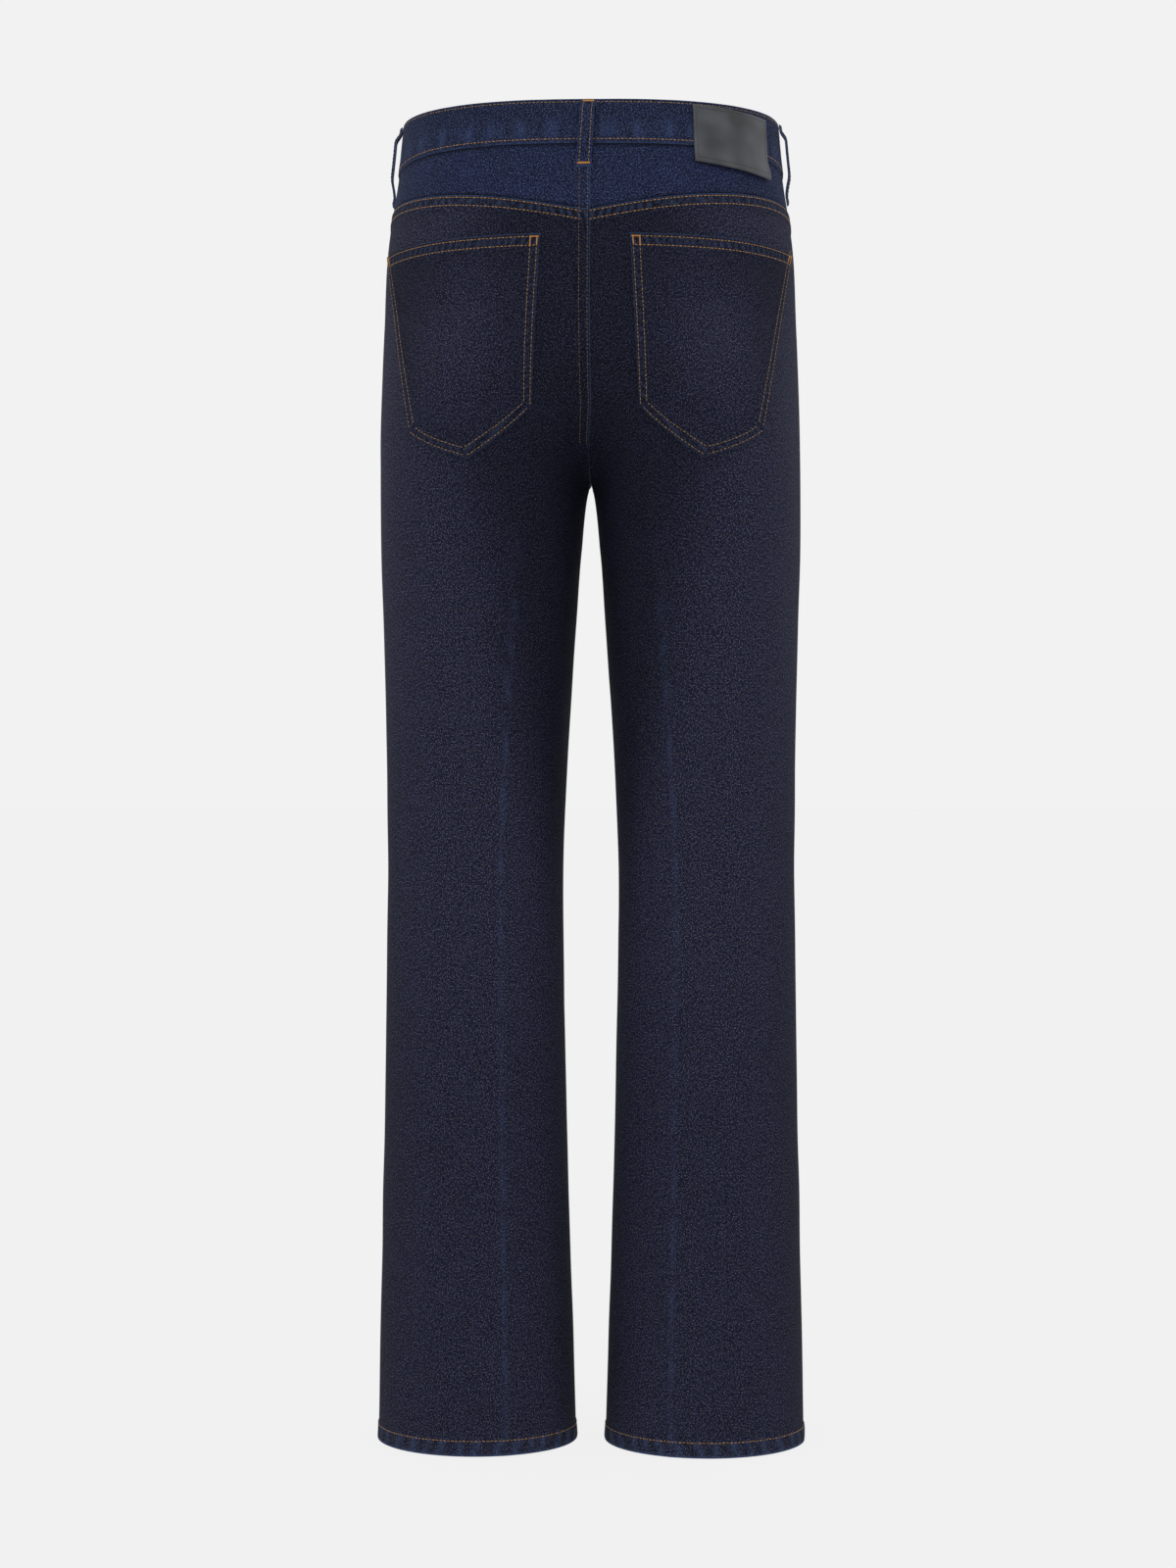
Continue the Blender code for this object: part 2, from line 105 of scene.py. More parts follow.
def readSection(field, drop):
    levels, column = sections[:, 0], sections[:, fields.index(field)]
    slopes = np.gradient(column, levels)
    i = int(np.clip(np.searchsorted(levels, drop) - 1, 0, len(levels) - 2))
    run = levels[i + 1] - levels[i]
    t = (drop - levels[i]) / run
    return (
        column[i] * (2 * t**3 - 3 * t**2 + 1)
        + slopes[i] * run * (t**3 - 2 * t**2 + t)
        + column[i + 1] * (3 * t**2 - 2 * t**3)
        + slopes[i + 1] * run * (t**3 - t**2)
    )


def legGap(drop):
    below = drop - body["crotch"]
    if below < body["archDepth"]:
        full = readSection("gap", body["crotch"] + body["archDepth"])
        return full * math.sqrt(max(below, 0) / body["archDepth"])
    return readSection("gap", drop)


def quarterOutline(drop, depth, curve, cleft):
    # one face's outline on the wearer's left, from the rise seam or the inseam to the side
    power = readSection("square", drop)
    far = math.hypot(readSection("side", drop), cleft)
    start = math.pi
    if drop < body["crotch"]:
        lift = min((body["crotch"] - drop) / curve, 1)
        reach = (lift * (2 - lift)) ** body["risePower"]
        cut = (1 - reach**power) ** (1 / power)
        middle = (cut * far + cleft) / (1 + cut)
        start -= math.asin(reach ** (power / 2))
    else:
        middle = (far + math.hypot(legGap(drop), cleft)) / 2
    t = np.linspace(0, 1, 241)
    turn = start * (1 - t * t * (2 - t))
    cosine, sine = np.cos(turn), np.abs(np.sin(turn))
    out = middle + (far - middle) * np.sign(cosine) * np.abs(cosine) ** (2 / power)
    x = np.sqrt(np.maximum(out**2 - cleft**2, 0))
    return np.column_stack([x, depth * sine ** (2 / power)])


def halfRing(drop):
    cleft = body["cleftRound"] * (1 - ease((drop - body["crotch"]) / body["cleftFade"])) + 1e-6
    back = quarterOutline(drop, readSection("back", drop), body["seatCurve"], cleft)
    front = quarterOutline(drop, readSection("front", drop), body["frontCurve"], cleft)
    ring = np.vstack([back, front[::-1][1:] * (1, -1)])
    lengths = np.concatenate([[0], np.cumsum(np.hypot(*np.diff(ring, axis=0).T))])
    return ring, lengths, lengths[240] + body["sideSeamForward"]


# Every section of the body, read once: a row a millimetre, each at even parts of its half girth
levels = np.linspace(0, body["length"], 1081)
parts = np.linspace(0, 1, 801)
rings = [halfRing(drop) for drop in levels]
outlines = np.array(
    [[np.interp(parts * run[-1], run, ring[:, k]) for k in (0, 1)] for ring, run, seam in rings]
)
girths = np.array([run[-1] for ring, run, seam in rings])
seams = np.array([seam / run[-1] for ring, run, seam in rings])


def girth(drop):
    return np.interp(drop, levels, girths)


def sideSeam(drop):
    return np.interp(drop, levels, seams)


def barePoint(g, drop):
    row = np.clip(drop / body["length"], 0, 1) * (len(levels) - 1)
    part = np.clip(g, 0, 1) * (len(parts) - 1)
    i = np.minimum(row.astype(int), len(levels) - 2)
    j = np.minimum(part.astype(int), len(parts) - 2)
    a, b = row - i, part - j
    flat = [
        (1 - a) * ((1 - b) * outlines[i, k, j] + b * outlines[i, k, j + 1])
        + a * ((1 - b) * outlines[i + 1, k, j] + b * outlines[i + 1, k, j + 1])
        for k in (0, 1)
    ]
    return np.stack([*flat, -drop], axis=-1)


def surface(g, drop, out):
    # points of the cloth, out along its normal; past a middle they go on round the other half
    g, drop, out = np.broadcast_arrays(*(np.asarray(a, float) for a in (g, drop, out)))
    side = np.where((g < 0) | (g > 1), -1.0, 1.0)
    g = np.abs(g)
    g = np.where(g > 1, 2 - g, g)
    along = barePoint(g + 0.0015, drop) - barePoint(g - 0.0015, drop)
    lower, upper = np.minimum(drop + 0.001, body["length"]), np.maximum(drop - 0.001, 0)
    normal = np.cross(along, barePoint(g, lower) - barePoint(g, upper))
    normal /= np.maximum(np.linalg.norm(normal, axis=-1, keepdims=True), 1e-12)
    point = barePoint(g, drop) + out[..., None] * normal
    point[..., 0] *= side
    return point


def spread(length, fine=0.0012, coarse=0.0040, near=0.016, start=True, end=True):
    # distances along a length: fine steps near its ends, coarse ones between
    x = np.linspace(0, length, 4001)
    away = np.minimum(x if start else length, length - x if end else length)
    step = fine + (coarse - fine) * ease((away - near) / (2 * near))
    count = np.concatenate([[0], np.cumsum(np.diff(x) / step[1:])])
    return np.interp(np.linspace(0, count[-1], round(count[-1]) + 1), count, x)


def piece(name, mesh, material, nodes):
    mesh.materials.append(material)
    made = bpy.data.objects.new(name, mesh)
    bpy.context.scene.collection.objects.link(made)
    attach(made, "root")
    if nodes:
        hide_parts(*nodes)
    return made


def clothPiece(name, columns, rows, place, material, nodes, side=1, keep=None):
    # A sheet of cloth: a grid, extruded for its thickness and laid on the body by place(s, t), which
    # gives g, drop, outer and inner offset, the flat pattern's u and v, the wear, worn fading mixed
    # with painted light and shade, and painted shade.
    bm = bmesh.new()
    across, down = len(columns) - 1, len(rows) - 1
    bmesh.ops.create_grid(bm, x_segments=across, y_segments=down, size=0.5)
    made = bmesh.ops.extrude_face_region(bm, geom=bm.faces[:], use_keep_orig=True)
    inner = [v for v in made["geom"] if isinstance(v, bmesh.types.BMVert)]
    bmesh.ops.translate(bm, verts=inner, vec=(0, 0, -1))
    bmesh.ops.recalc_face_normals(bm, faces=bm.faces[:])
    mesh = bpy.data.meshes.new(name)
    bm.to_mesh(mesh)
    bm.free()
    flat = np.empty(len(mesh.vertices) * 3)
    mesh.vertices.foreach_get("co", flat)
    flat = flat.reshape(-1, 3)
    i = np.rint((flat[:, 0] + 0.5) * across).astype(int)
    j = np.rint((0.5 - flat[:, 1]) * down).astype(int)
    inside = flat[:, 2] < -0.5
    spot = place(np.asarray(columns)[i], np.asarray(rows)[j])
    points = surface(spot["g"], spot["drop"], np.where(inside, spot["inner"], spot["outer"]))
    if keep:
        points = keep(points, spot)
    points[:, 0] *= side
    mesh.vertices.foreach_set("co", points.ravel())
    loops = np.empty(len(mesh.loops), int)
    mesh.loops.foreach_get("vertex_index", loops)
    uv = np.stack([-side * spot["u"], spot["v"]], axis=-1)
    layer = mesh.uv_layers.new(name="pattern")
    layer.uv.foreach_set("vector", uv[loops].ravel())
    # dark is painted shade: a mask that darkens the colour in pucker troughs and under folds
    marks = {"wear": spot["wear"], "fade": spot["fade"], "dark": spot.get("dark", 0.0), "inside": inside}
    for word, values in marks.items():
        mark = mesh.attributes.new(word, "FLOAT", "POINT")
        mark.data.foreach_set("value", np.broadcast_to(values, len(flat)).astype(np.float32))
    mesh.update()
    if signedVolume(mesh) < 0:
        mesh.flip_normals()
    mesh.shade_smooth()
    mesh.set_sharp_from_angle(angle=math.radians(60))
    return piece(name, mesh, material, nodes)


def signedVolume(mesh):
    bm = bmesh.new()
    bm.from_mesh(mesh)
    volume = bm.calc_volume(signed=True)
    bm.free()
    return volume


band = {"proud": 0.0010, "thick": 0.0024, "back": 0.0375, "side": 0.0430, "turn": 12, "gap": 0.0001,
        "lap": 0.00135, "outerEnd": 0.024, "innerEnd": 0.032, "lapRun": 0.030}
yokeLine = {"middle": 0.0922, "curve": (-0.0514, 0.0264, 0.0113)}
fly = {"lap": 0.006, "end": 0.190, "close": 0.025, "wide": 0.032, "proud": 0.0008}
mouth = {"start": 0.55, "deep": 0.075, "margin": 0.016, "lay": 0.0010}
felled = {"wide": 0.0105, "proud": 0.0009, "rows": (0.0022, 0.0088), "lap": 0.0040, "overlap": 0.0002}
# the shallow groove along a plain seam, and the crease pressed down the back of each leg
seamDip = {"deep": 0.0004, "wide": 0.0013, "inseamFrom": 0.29}
crease = {"part": 0.195, "proud": 0.0003, "wide": 0.0045, "worn": 0.30, "wornWide": 0.0017, "patch": 0.05}
# pitch of the puckers in the yoke seam, band, pocket mouth and pocket edges
pucker = {"yoke": 0.0062, "band": 0.0105, "mouth": 0.0060, "edge": 0.0075}


def bandEnd(g):
    return band["back"] + (band["side"] - band["back"]) * np.sin(math.pi * g) ** band["turn"]


def yokeEnd(across):
    return yokeLine["middle"] + sum(part * across**n for n, part in enumerate(yokeLine["curve"], 1))


def frontTop(wide):
    return bandEnd(1 - wide * (1 - sideSeam(band["side"]))) + band["gap"]


def pressed(g, drop, wide):
    # a soft pressed line down the back of each leg
    return hump((g - crease["part"]) * girth(drop), 0, wide) * ease((drop - 0.30) / 0.15)


def swell(g, drop):
    # the body cloth's slight unevenness, and the ridge of its pressed line
    low = 0.00035 * wobble(g * 0.5 + 0.3 * drop, 0.19) * wobble(drop + 0.2 * g, 0.23)
    return low * ease((drop - 0.05) / 0.08) + crease["proud"] * pressed(g, drop, crease["wide"])


def felledLift(away):
    # a felled seam's double thickness: a rounded fold, a flat top and a soft inner step
    inner = 1 - ease((away - felled["wide"]) / 0.0018)
    pulled = sum(hump(away, row, 0.0009) for row in felled["rows"])
    return felled["proud"] * inner * np.sqrt(np.clip(away / 0.0009 + 0.1, 0, 1)) - 0.00022 * pulled


def seamGroove(away):
    return seamDip["deep"] * hump(away, 0, seamDip["wide"])


def puckers(along, away, wide):
    # the small slanting puckers that a stitched fold takes on
    return np.sin(math.tau * (along + 0.35 * away) / wide + 1.2 * wobble(along, wide * 5.3))


def stretchAcross(x, nominal, width, edge=0.022):
    # a panel's columns: fixed near both edges, and what the crotch adds goes to those near the middle
    q = np.clip((x - edge) / (nominal - 2 * edge), 0, 1)
    even = np.minimum(width, nominal) - 2 * edge
    between = width - edge - (1 - q) * even - (1 - q) ** 3 * np.maximum(width - nominal, 0)
    return np.where(x < edge, x, np.where(x > nominal - edge, width - (nominal - x), between))


def hemOffsets(drop, outer, inner):
    up = body["length"] - drop
    folded = 1 - ease((up - hem["tall"]) / 0.0012)
    return outer + hem["proud"] * folded, inner + (hem["proud"] - hem["thick"] + cloth["denim"]) * folded


def hemLook(along, drop):
    # lift and wear of the roped hem: slanting ridges between its stitches and its worn edge
    up = body["length"] - drop
    rope = puckers(along, up, hem["rope"])
    zone = ease(up / 0.0015) * (1 - ease((up - hem["row"] + 0.001) / 0.004))
    edge = np.clip(1 - up / 0.0022, 0, 1)
    lift = 0.00042 * rope * zone - 0.0003 * hump(up, hem["row"], 0.0011)
    return lift, 0.75 * edge + 0.45 * zone * np.clip(rope, 0, 1) ** 2


def holdMiddle(face, lapped=False):
    # keeps a panel on its own side of the rise seam, and of the inseam below the crotch
    def keep(points, spot):
        drop = spot["drop"]
        if face > 0:
            held = drop > (body["crotch"] - 0.012 if lapped else 0)
        else:
            held = drop > fly["end"] + fly["close"]
        points[:, 0] = np.where(held, np.maximum(points[:, 0], cloth["halfGap"]), points[:, 0])
        inseam = (spot["away"] < 1e-6) & (drop >= body["crotch"])
        near = face * np.maximum(face * points[:, 1], cloth["halfGap"])
        points[:, 1] = np.where(inseam, near, points[:, 1])
        return points

    return keep


def legFadeAndShade(fromSide, drop):
    # paler down the back of the leg, partly worn fading and partly painted light on the leg's curve, less
    # so below the knee; painted shade beside the rise seam and the inseam, at the side seam and under the
    # waistband
    inner = 0.135 + 0.055 * ease((drop - 0.45) / 0.30)
    outer = 0.10 + 0.90 * ease(fromSide / 0.085) - 0.25 * ease((drop - 0.62) / 0.20)
    return (1 - ease((fromSide - inner) / 0.075)) * np.clip(outer, 0, 1) * ease((drop - 0.06) / 0.04)


def seamLap(drop):
    # how far the left half laps over the right at the back middle
    return felled["lap"] * (1 - ease((drop - 0.235) / 0.045))


def backPlace(side):
    nominal, top, first = panelWidth["back"], yokeLine["middle"], 0.124

    def place(x, row):
        start = yokeEnd(x / nominal) + cloth["halfGap"]
        drop = np.where(row < first, start + (row - top) / (first - top) * (first - start), row)
        span = girth(drop)
        width = sideSeam(drop) * span - 2 * cloth["halfGap"]
        across = stretchAcross(x, nominal, width)
        away, fromSide, below = across, width - across, drop - start
        lift = swell(across / span, drop)
        inner = lift - cloth["denim"]
        wear = 0.75 * np.clip(1 - below / 0.0014, 0, 1)
        rise = felledLift(below)
        if side > 0:
            lapping = seamLap(drop)
            near = 1 - ease((drop - 0.262) / 0.025)
            rise = np.maximum(rise, (felledLift(away) + felled["overlap"]) * near)
            wear = np.maximum(wear, 0.45 * near * np.clip(1 - away / 0.0012, 0, 1))
            over = ease(lapping / 0.002) * (1 - ease((away - lapping + 0.0005) / 0.0015))
            inner = inner + over * (cloth["denim"] + 0.00005)
            lift = lift + 0.0003 * over
            across = across - lapping * (1 - ease(x / 0.022))
        else:
            rise = rise - 0.0002 * hump(away, 0, 0.0015)
        rope = puckers(across, below, pucker["yoke"]) * hump(below, 0.0055, 0.0036)
        hemLift, hemWear = hemLook(across, drop)
        groove = seamGroove(fromSide) + seamGroove(away) * (drop > seamDip["inseamFrom"])
        outer = lift + rise + 0.00025 * rope + hemLift - groove
        outer, inner = hemOffsets(drop, outer, inner)
        g = (across + cloth["halfGap"] * (side < 0)) / span
        patchy = 0.55 + 0.45 * wobble(drop, crease["patch"])
        line = crease["worn"] * pressed(g, drop, crease["wornWide"]) * patchy
        wear = wear + hemWear + 0.45 * np.clip(rope, 0, 1) + line
        # dark here is painted shade in the troughs between the yoke seam's puckers
        return {"g": g, "drop": drop, "outer": outer, "inner": inner, "u": fromSide, "v": -drop,
                "wear": np.clip(wear, 0, 1), "dark": 0.55 * np.clip(-rope, 0, 1),
                "fade": legFadeAndShade(fromSide, drop), "away": away}

    return place


def backRows():
    upper = spread(0.060, fine=0.0010, coarse=0.003, near=0.010, end=False) + yokeLine["middle"]
    lower = spread(body["length"] - upper[-1], fine=0.0010, coarse=0.0042, near=0.010, start=False)
    return np.concatenate([upper, lower[1:] + upper[-1]])


def scoop(s):
    # the front's upper edge as part of its width from the middle, and drop below the waistband
    level = 5 / 12
    turn = math.pi / 2 * np.clip((s - level) / (1 - level), 0, 1)
    wide = np.where(s <= level, mouth["start"] * s / level,
                    mouth["start"] + (1 - mouth["start"]) * (1 - np.cos(turn)))
    return wide, mouth["deep"] * np.sin(turn)


def frontPlace(side):
    nominal, first, top = panelWidth["front"], 0.190, 0.043

    def place(x, row):
        s = x / nominal
        wide, deep = scoop(s)
        start = frontTop(wide) + deep
        down = np.clip((row - top) / (first - top), 0, 1)
        drop = np.where(row < first, start + (first - start) * down, row)
        span, seam = girth(drop), sideSeam(drop)
        width = span * (1 - seam) - 2 * cloth["halfGap"]
        straight = stretchAcross(x, nominal, width)
        across = wide * width * (1 - down) + straight * down
        openPart = 1 - ease((drop - fly["end"]) / fly["close"])
        lap = (side * fly["lap"] - cloth["halfGap"]) * openPart
        away, fromSide, below = across, width - across, drop - start
        g = 1 - (across + cloth["halfGap"]) / span + (1 - across / width) ** 6 * lap / span
        placket = openPart * (side > 0) * (1 - ease((across - fly["wide"]) / 0.002))
        lift = swell(g, drop) + fly["proud"] * placket
        folded = 0.0005 * (1 - ease((below - 0.011) / 0.002)) * (s > 5 / 12 - 0.02)
        hemLift, hemWear = hemLook(across, drop)
        groove = seamGroove(fromSide) * (drop > 0.12) + seamGroove(away) * (drop > seamDip["inseamFrom"])
        outer = lift + folded + hemLift - groove
        wear = hemWear + 0.6 * np.clip(1 - below / 0.0015, 0, 1) * (s > 5 / 12)
        wear = wear + 0.4 * np.clip(1 - away / 0.0012, 0, 1) * openPart
        outer, inner = hemOffsets(drop, outer, lift - cloth["denim"])
        return {"g": g, "drop": drop, "outer": outer, "inner": inner, "u": -fromSide, "v": -drop,
                "wear": np.clip(wear, 0, 1), "fade": legFadeAndShade(fromSide, drop), "away": away}

    return place


def frontRows():
    upper = spread(0.147, fine=0.0012, coarse=0.0040, near=0.014, end=False) + 0.043
    lower = spread(body["length"] - upper[-1], fine=0.0010, coarse=0.0042, near=0.010, start=False)
    return np.concatenate([upper, lower[1:] + upper[-1]])


def yokePlace(side):
    nominal = panelWidth["yoke"]

    def place(x, row):
        s = x / nominal
        rough = s * sideSeam(0.06)
        top, end = bandEnd(rough) + band["gap"], yokeEnd(s) - cloth["halfGap"]
        drop = top + (end - top) * row
        width = sideSeam(drop) * girth(drop) - 2 * cloth["halfGap"]
        across = s * width
        away, above = across, end - drop
        lift = swell(across / girth(drop), drop)
        inner = lift - cloth["denim"]
        rise, wear = 0.0, 0.0
        if side > 0:
            lapping = felled["lap"]
            rise = felledLift(away) + felled["overlap"]
            wear = 0.35 * np.clip(1 - away / 0.0012, 0, 1)
            over = 1 - ease((away - lapping + 0.0005) / 0.0015)
            inner = inner + over * (cloth["denim"] + 0.00005)
            lift = lift + 0.0003 * over
            across = across - lapping * (1 - ease(x / 0.022))
        outer = lift + rise + 0.0001 * wobble(across, 0.011) * hump(above, 0, 0.006)
        outer = outer - 0.0003 * hump(above, 0, 0.001)
        g = (across + cloth["halfGap"] * (side < 0)) / girth(drop)
        # painted shadow: the yoke darkened just under the waistband and just above the back panel's fold
        dark = 0.95 * np.exp(-((drop - top) / 0.0024) ** 2) + 0.8 * np.exp(-((above / 0.0016) ** 2))
        return {"g": g, "drop": drop, "outer": outer, "inner": inner, "u": width - across, "v": -drop,
                "wear": np.clip(wear, 0, 1), "dark": np.clip(dark, 0, 1), "fade": 0.3, "away": away}

    return place


bandSpan = float(girth(0.02))
bandFirst, bandLast = -1 - band["innerEnd"] / bandSpan, 1 + band["outerEnd"] / bandSpan


def bandShift(g):
    # the left end lies over the right one at the front middle
    run = band["lapRun"]
    under = ease((-g * bandSpan - (bandSpan - band["outerEnd"] - run)) / (run - 0.004))
    over = ease((g * bandSpan - (bandSpan - band["innerEnd"] - run)) / (run - 0.004))
    return band["lap"] * (over - under)


def bandPlace(x, row):
    g = x
    folded = np.where(np.abs(g) <= 1, np.abs(g), 2 - np.abs(g))
    tall = bandEnd(folded) - cloth["halfGap"]
    drop = tall * row
    along, up = g * bandSpan, tall - drop
    edges = np.sqrt(np.clip(np.minimum(drop, up) / 0.0012, 0, 1))
    rope = puckers(along, up, pucker["band"])
    zone = hump(up, 0.005, 0.006)
    pulled = hump(drop, 0.0028, 0.0009) + hump(up, 0.0030, 0.0009)
    base = bandShift(g) + band["proud"]
    lift = 0.0002 * wobble(along, 0.043) * wobble(drop, 0.05) + 0.00022 * rope * zone
    outer = base + lift - 0.00018 * pulled - 0.0006 * (1 - edges)
    inner = base - band["thick"] + 0.0006 * (1 - edges)
    patches = np.clip(0.25 + 0.6 * wobble(along, 0.023) + 0.25 * wobble(along + 1.7 * up, 0.011), 0, 1)
    wear = 0.35 * np.clip(1 - up / 0.0014, 0, 1) + 0.34 * hump(up, 0.0110, 0.0075) * patches
    wear = wear + 0.25 * np.clip(1 - drop / 0.0010, 0, 1)
    return {"g": g, "drop": drop, "outer": outer, "inner": inner, "u": -drop, "v": along,
            "wear": np.clip(wear, 0, 1), "fade": 0.2, "away": up}


thread = {"pitch": 0.0032, "long": 0.0025, "thick": 0.00058, "sink": 0.00008}


def rowFrames(g, drop, out, side, pitch, phase=0.5):
    # places evenly along a line on the cloth: middles, directions along it and away from the cloth
    fine = np.linspace(0, 1, 1500)
    given = np.linspace(0, 1, len(np.atleast_1d(g)))
    g, drop = np.interp(fine, given, g), np.interp(fine, given, drop)
    level = out(g, drop) if callable(out) else np.full(len(g), out)
    line = surface(g, drop, level) * (side, 1, 1)
    normal = surface(g, drop, level + 0.001) * (side, 1, 1) - line
    run = np.concatenate([[0], np.cumsum(np.linalg.norm(np.diff(line, axis=0), axis=1))])
    at = (np.arange(max(int(run[-1] / pitch), 1)) + phase) * pitch
    at = at[at < run[-1]]
    middle = np.stack([np.interp(at, run, line[:, k]) for k in range(3)], axis=-1)
    ahead = np.stack([np.interp(at + 0.0005, run, line[:, k]) for k in range(3)], axis=-1)
    back = np.stack([np.interp(at - 0.0005, run, line[:, k]) for k in range(3)], axis=-1)
    up = np.stack([np.interp(at, run, normal[:, k]) for k in range(3)], axis=-1)
    along = ahead - back
    along /= np.linalg.norm(along, axis=1, keepdims=True)
    up -= along * np.sum(up * along, axis=1, keepdims=True)
    up /= np.linalg.norm(up, axis=1, keepdims=True)
    return middle, along, up


def sewRow(group, g, drop, out, side=1):
    middle, along, up = rowFrames(np.asarray(g, float), np.asarray(drop, float), out, side, thread["pitch"])
    group.append((middle + up * thread["sink"], along, up, thread["long"], thread["thick"]))


def sewTack(group, g, drop, out, side=1, wide=0.0022):
    # a bar tack: strands laid close together across its line
    middle, along, up = rowFrames(np.asarray(g, float), np.asarray(drop, float), out, side, 0.00052)
    strand = np.cross(up, along) + along * 0.18
    strand /= np.linalg.norm(strand, axis=1, keepdims=True)
    group.append((middle + up * 0.0002, strand, up, wide, 0.0006))


def threadPiece(name, group, material):
    # one joined mesh of every strand in the group, each a copy of one long bead
    bm = bmesh.new()
    bmesh.ops.create_uvsphere(bm, u_segments=6, v_segments=4, radius=0.5)
    bead = np.array([v.co for v in bm.verts])
    faces = [[v.index for v in f.verts] for f in bm.faces]
    bm.free()
    bead = bead[:, [2, 0, 1]]
    bead[:, 1:] *= 1 / max(np.hypot(bead[:, 1], bead[:, 2]).max(), 1e-9) / 2
    points, shades = [], []
    for middle, along, up, long, thick in group:
        sideways = np.cross(up, along)
        shape = bead * (long, thick, thick * 0.85)
        points.append(
            middle[:, None]
            + shape[None, :, :1] * along[:, None]
            + shape[None, :, 1:2] * sideways[:, None]
            + shape[None, :, 2:] * up[:, None]
        )
        shades.append(np.repeat(0.5 + 0.5 * np.sin(np.arange(len(middle)) * 2.399), len(bead)))
    points = np.concatenate(points).reshape(-1, 3)
    many = len(points) // len(bead)
    everyFace = [[k + n * len(bead) for k in f] for n in range(many) for f in faces]
    mesh = bpy.data.meshes.new(name)
    mesh.from_pydata(points.tolist(), [], everyFace)
    mark = mesh.attributes.new("shade", "FLOAT", "POINT")
    mark.data.foreach_set("value", np.concatenate(shades).astype(np.float32))
    mesh.shade_smooth()
    return piece(name, mesh, material, ())


def linear(code):
    # an sRGB hex colour as linear red, green, blue and alpha
    parts = [int(code[i : i + 2], 16) / 255 for i in (1, 3, 5)]
    return (*[p / 12.92 if p <= 0.04045 else ((p + 0.055) / 1.055) ** 2.4 for p in parts], 1.0)


def startMaterial(name):
    made = bpy.data.materials.new(name)
    made.use_nodes = True
    made.node_tree.nodes.clear()
    return made, made.node_tree


def add(tree, kind, inputs=None, **settings):
    # a node with its settings, and its inputs set to values or linked to sockets
    node = tree.nodes.new("ShaderNode" + kind)
    for word, value in settings.items():
        setattr(node, word, value)
    for key, value in (inputs or {}).items():
        if isinstance(value, bpy.types.NodeSocket):
            tree.links.new(value, node.inputs[key])
        else:
            node.inputs[key].default_value = value
    return node


def maths(tree, operation, a, b=0.0, clamp=False):
    return add(tree, "Math", {0: a, 1: b}, operation=operation, use_clamp=clamp).outputs[0]


def blend(tree, factor, a, b, mode="MIX"):
    node = add(tree, "Mix", {0: factor, 6: a, 7: b}, data_type="RGBA", blend_type=mode)
    return node.outputs[2]


def levelsOf(tree, value, low, high, to=(0.0, 1.0)):
    inputs = {0: value, 1: low, 2: high, 3: to[0], 4: to[1]}
    return add(tree, "MapRange", inputs, clamp=True).outputs[0]


def noiseOf(tree, vector, size, detail=2.0, roughness=0.5):
    # noise whose grain is size millimetres, on coordinates in millimetres
    inputs = {"Vector": vector, "Scale": 1 / size, "Detail": detail, "Roughness": roughness}
    return add(tree, "TexNoise", inputs, noise_dimensions="2D").outputs["Fac"]


def scaled(tree, vector, by):
    return add(tree, "Mapping", {"Vector": vector, "Scale": by}).outputs[0]


def markOf(tree, word):
    return add(tree, "Attribute", attribute_name=word).outputs["Fac"]


# warp dyed dark to light, weft showing warm, folds worn pale, and bright flecks of weft
denimLook = {
    "body": ("#03050c", "#171b34", "#352c28", "#3f5174", "#54566a"),
    "yoke": ("#050817", "#1f294e", "#302d33", "#43577e", "#5a6589"),
    "band": ("#050917", "#1e274a", "#332e36", "#465a85", "#5f6b8e"),
}
# Millimetres, and degrees for the twill's slope. Real twill lines are about 0.7 mm apart and a weft
# float is 0.5 mm, too fine to show, so both are drawn a little coarser.
denimScale = {
    "twill": 1.05,
    "slope": 66.0,
    "grain": 1.2,
    "fleck": 0.95,
    "slub": 1.3,
    "slubLong": 34.0,
    "mottle": 26.0,
}
# painted shade: the near black that the dark mark blends the cloth towards
paintedShadeBlack = "#020309"
weftPale = ("#3c4560", "#777f92")


def times(tree, a, b):
    return maths(tree, "MULTIPLY", a, b)


def plus(tree, a, b, clamp=False):
    return maths(tree, "ADD", a, b, clamp)


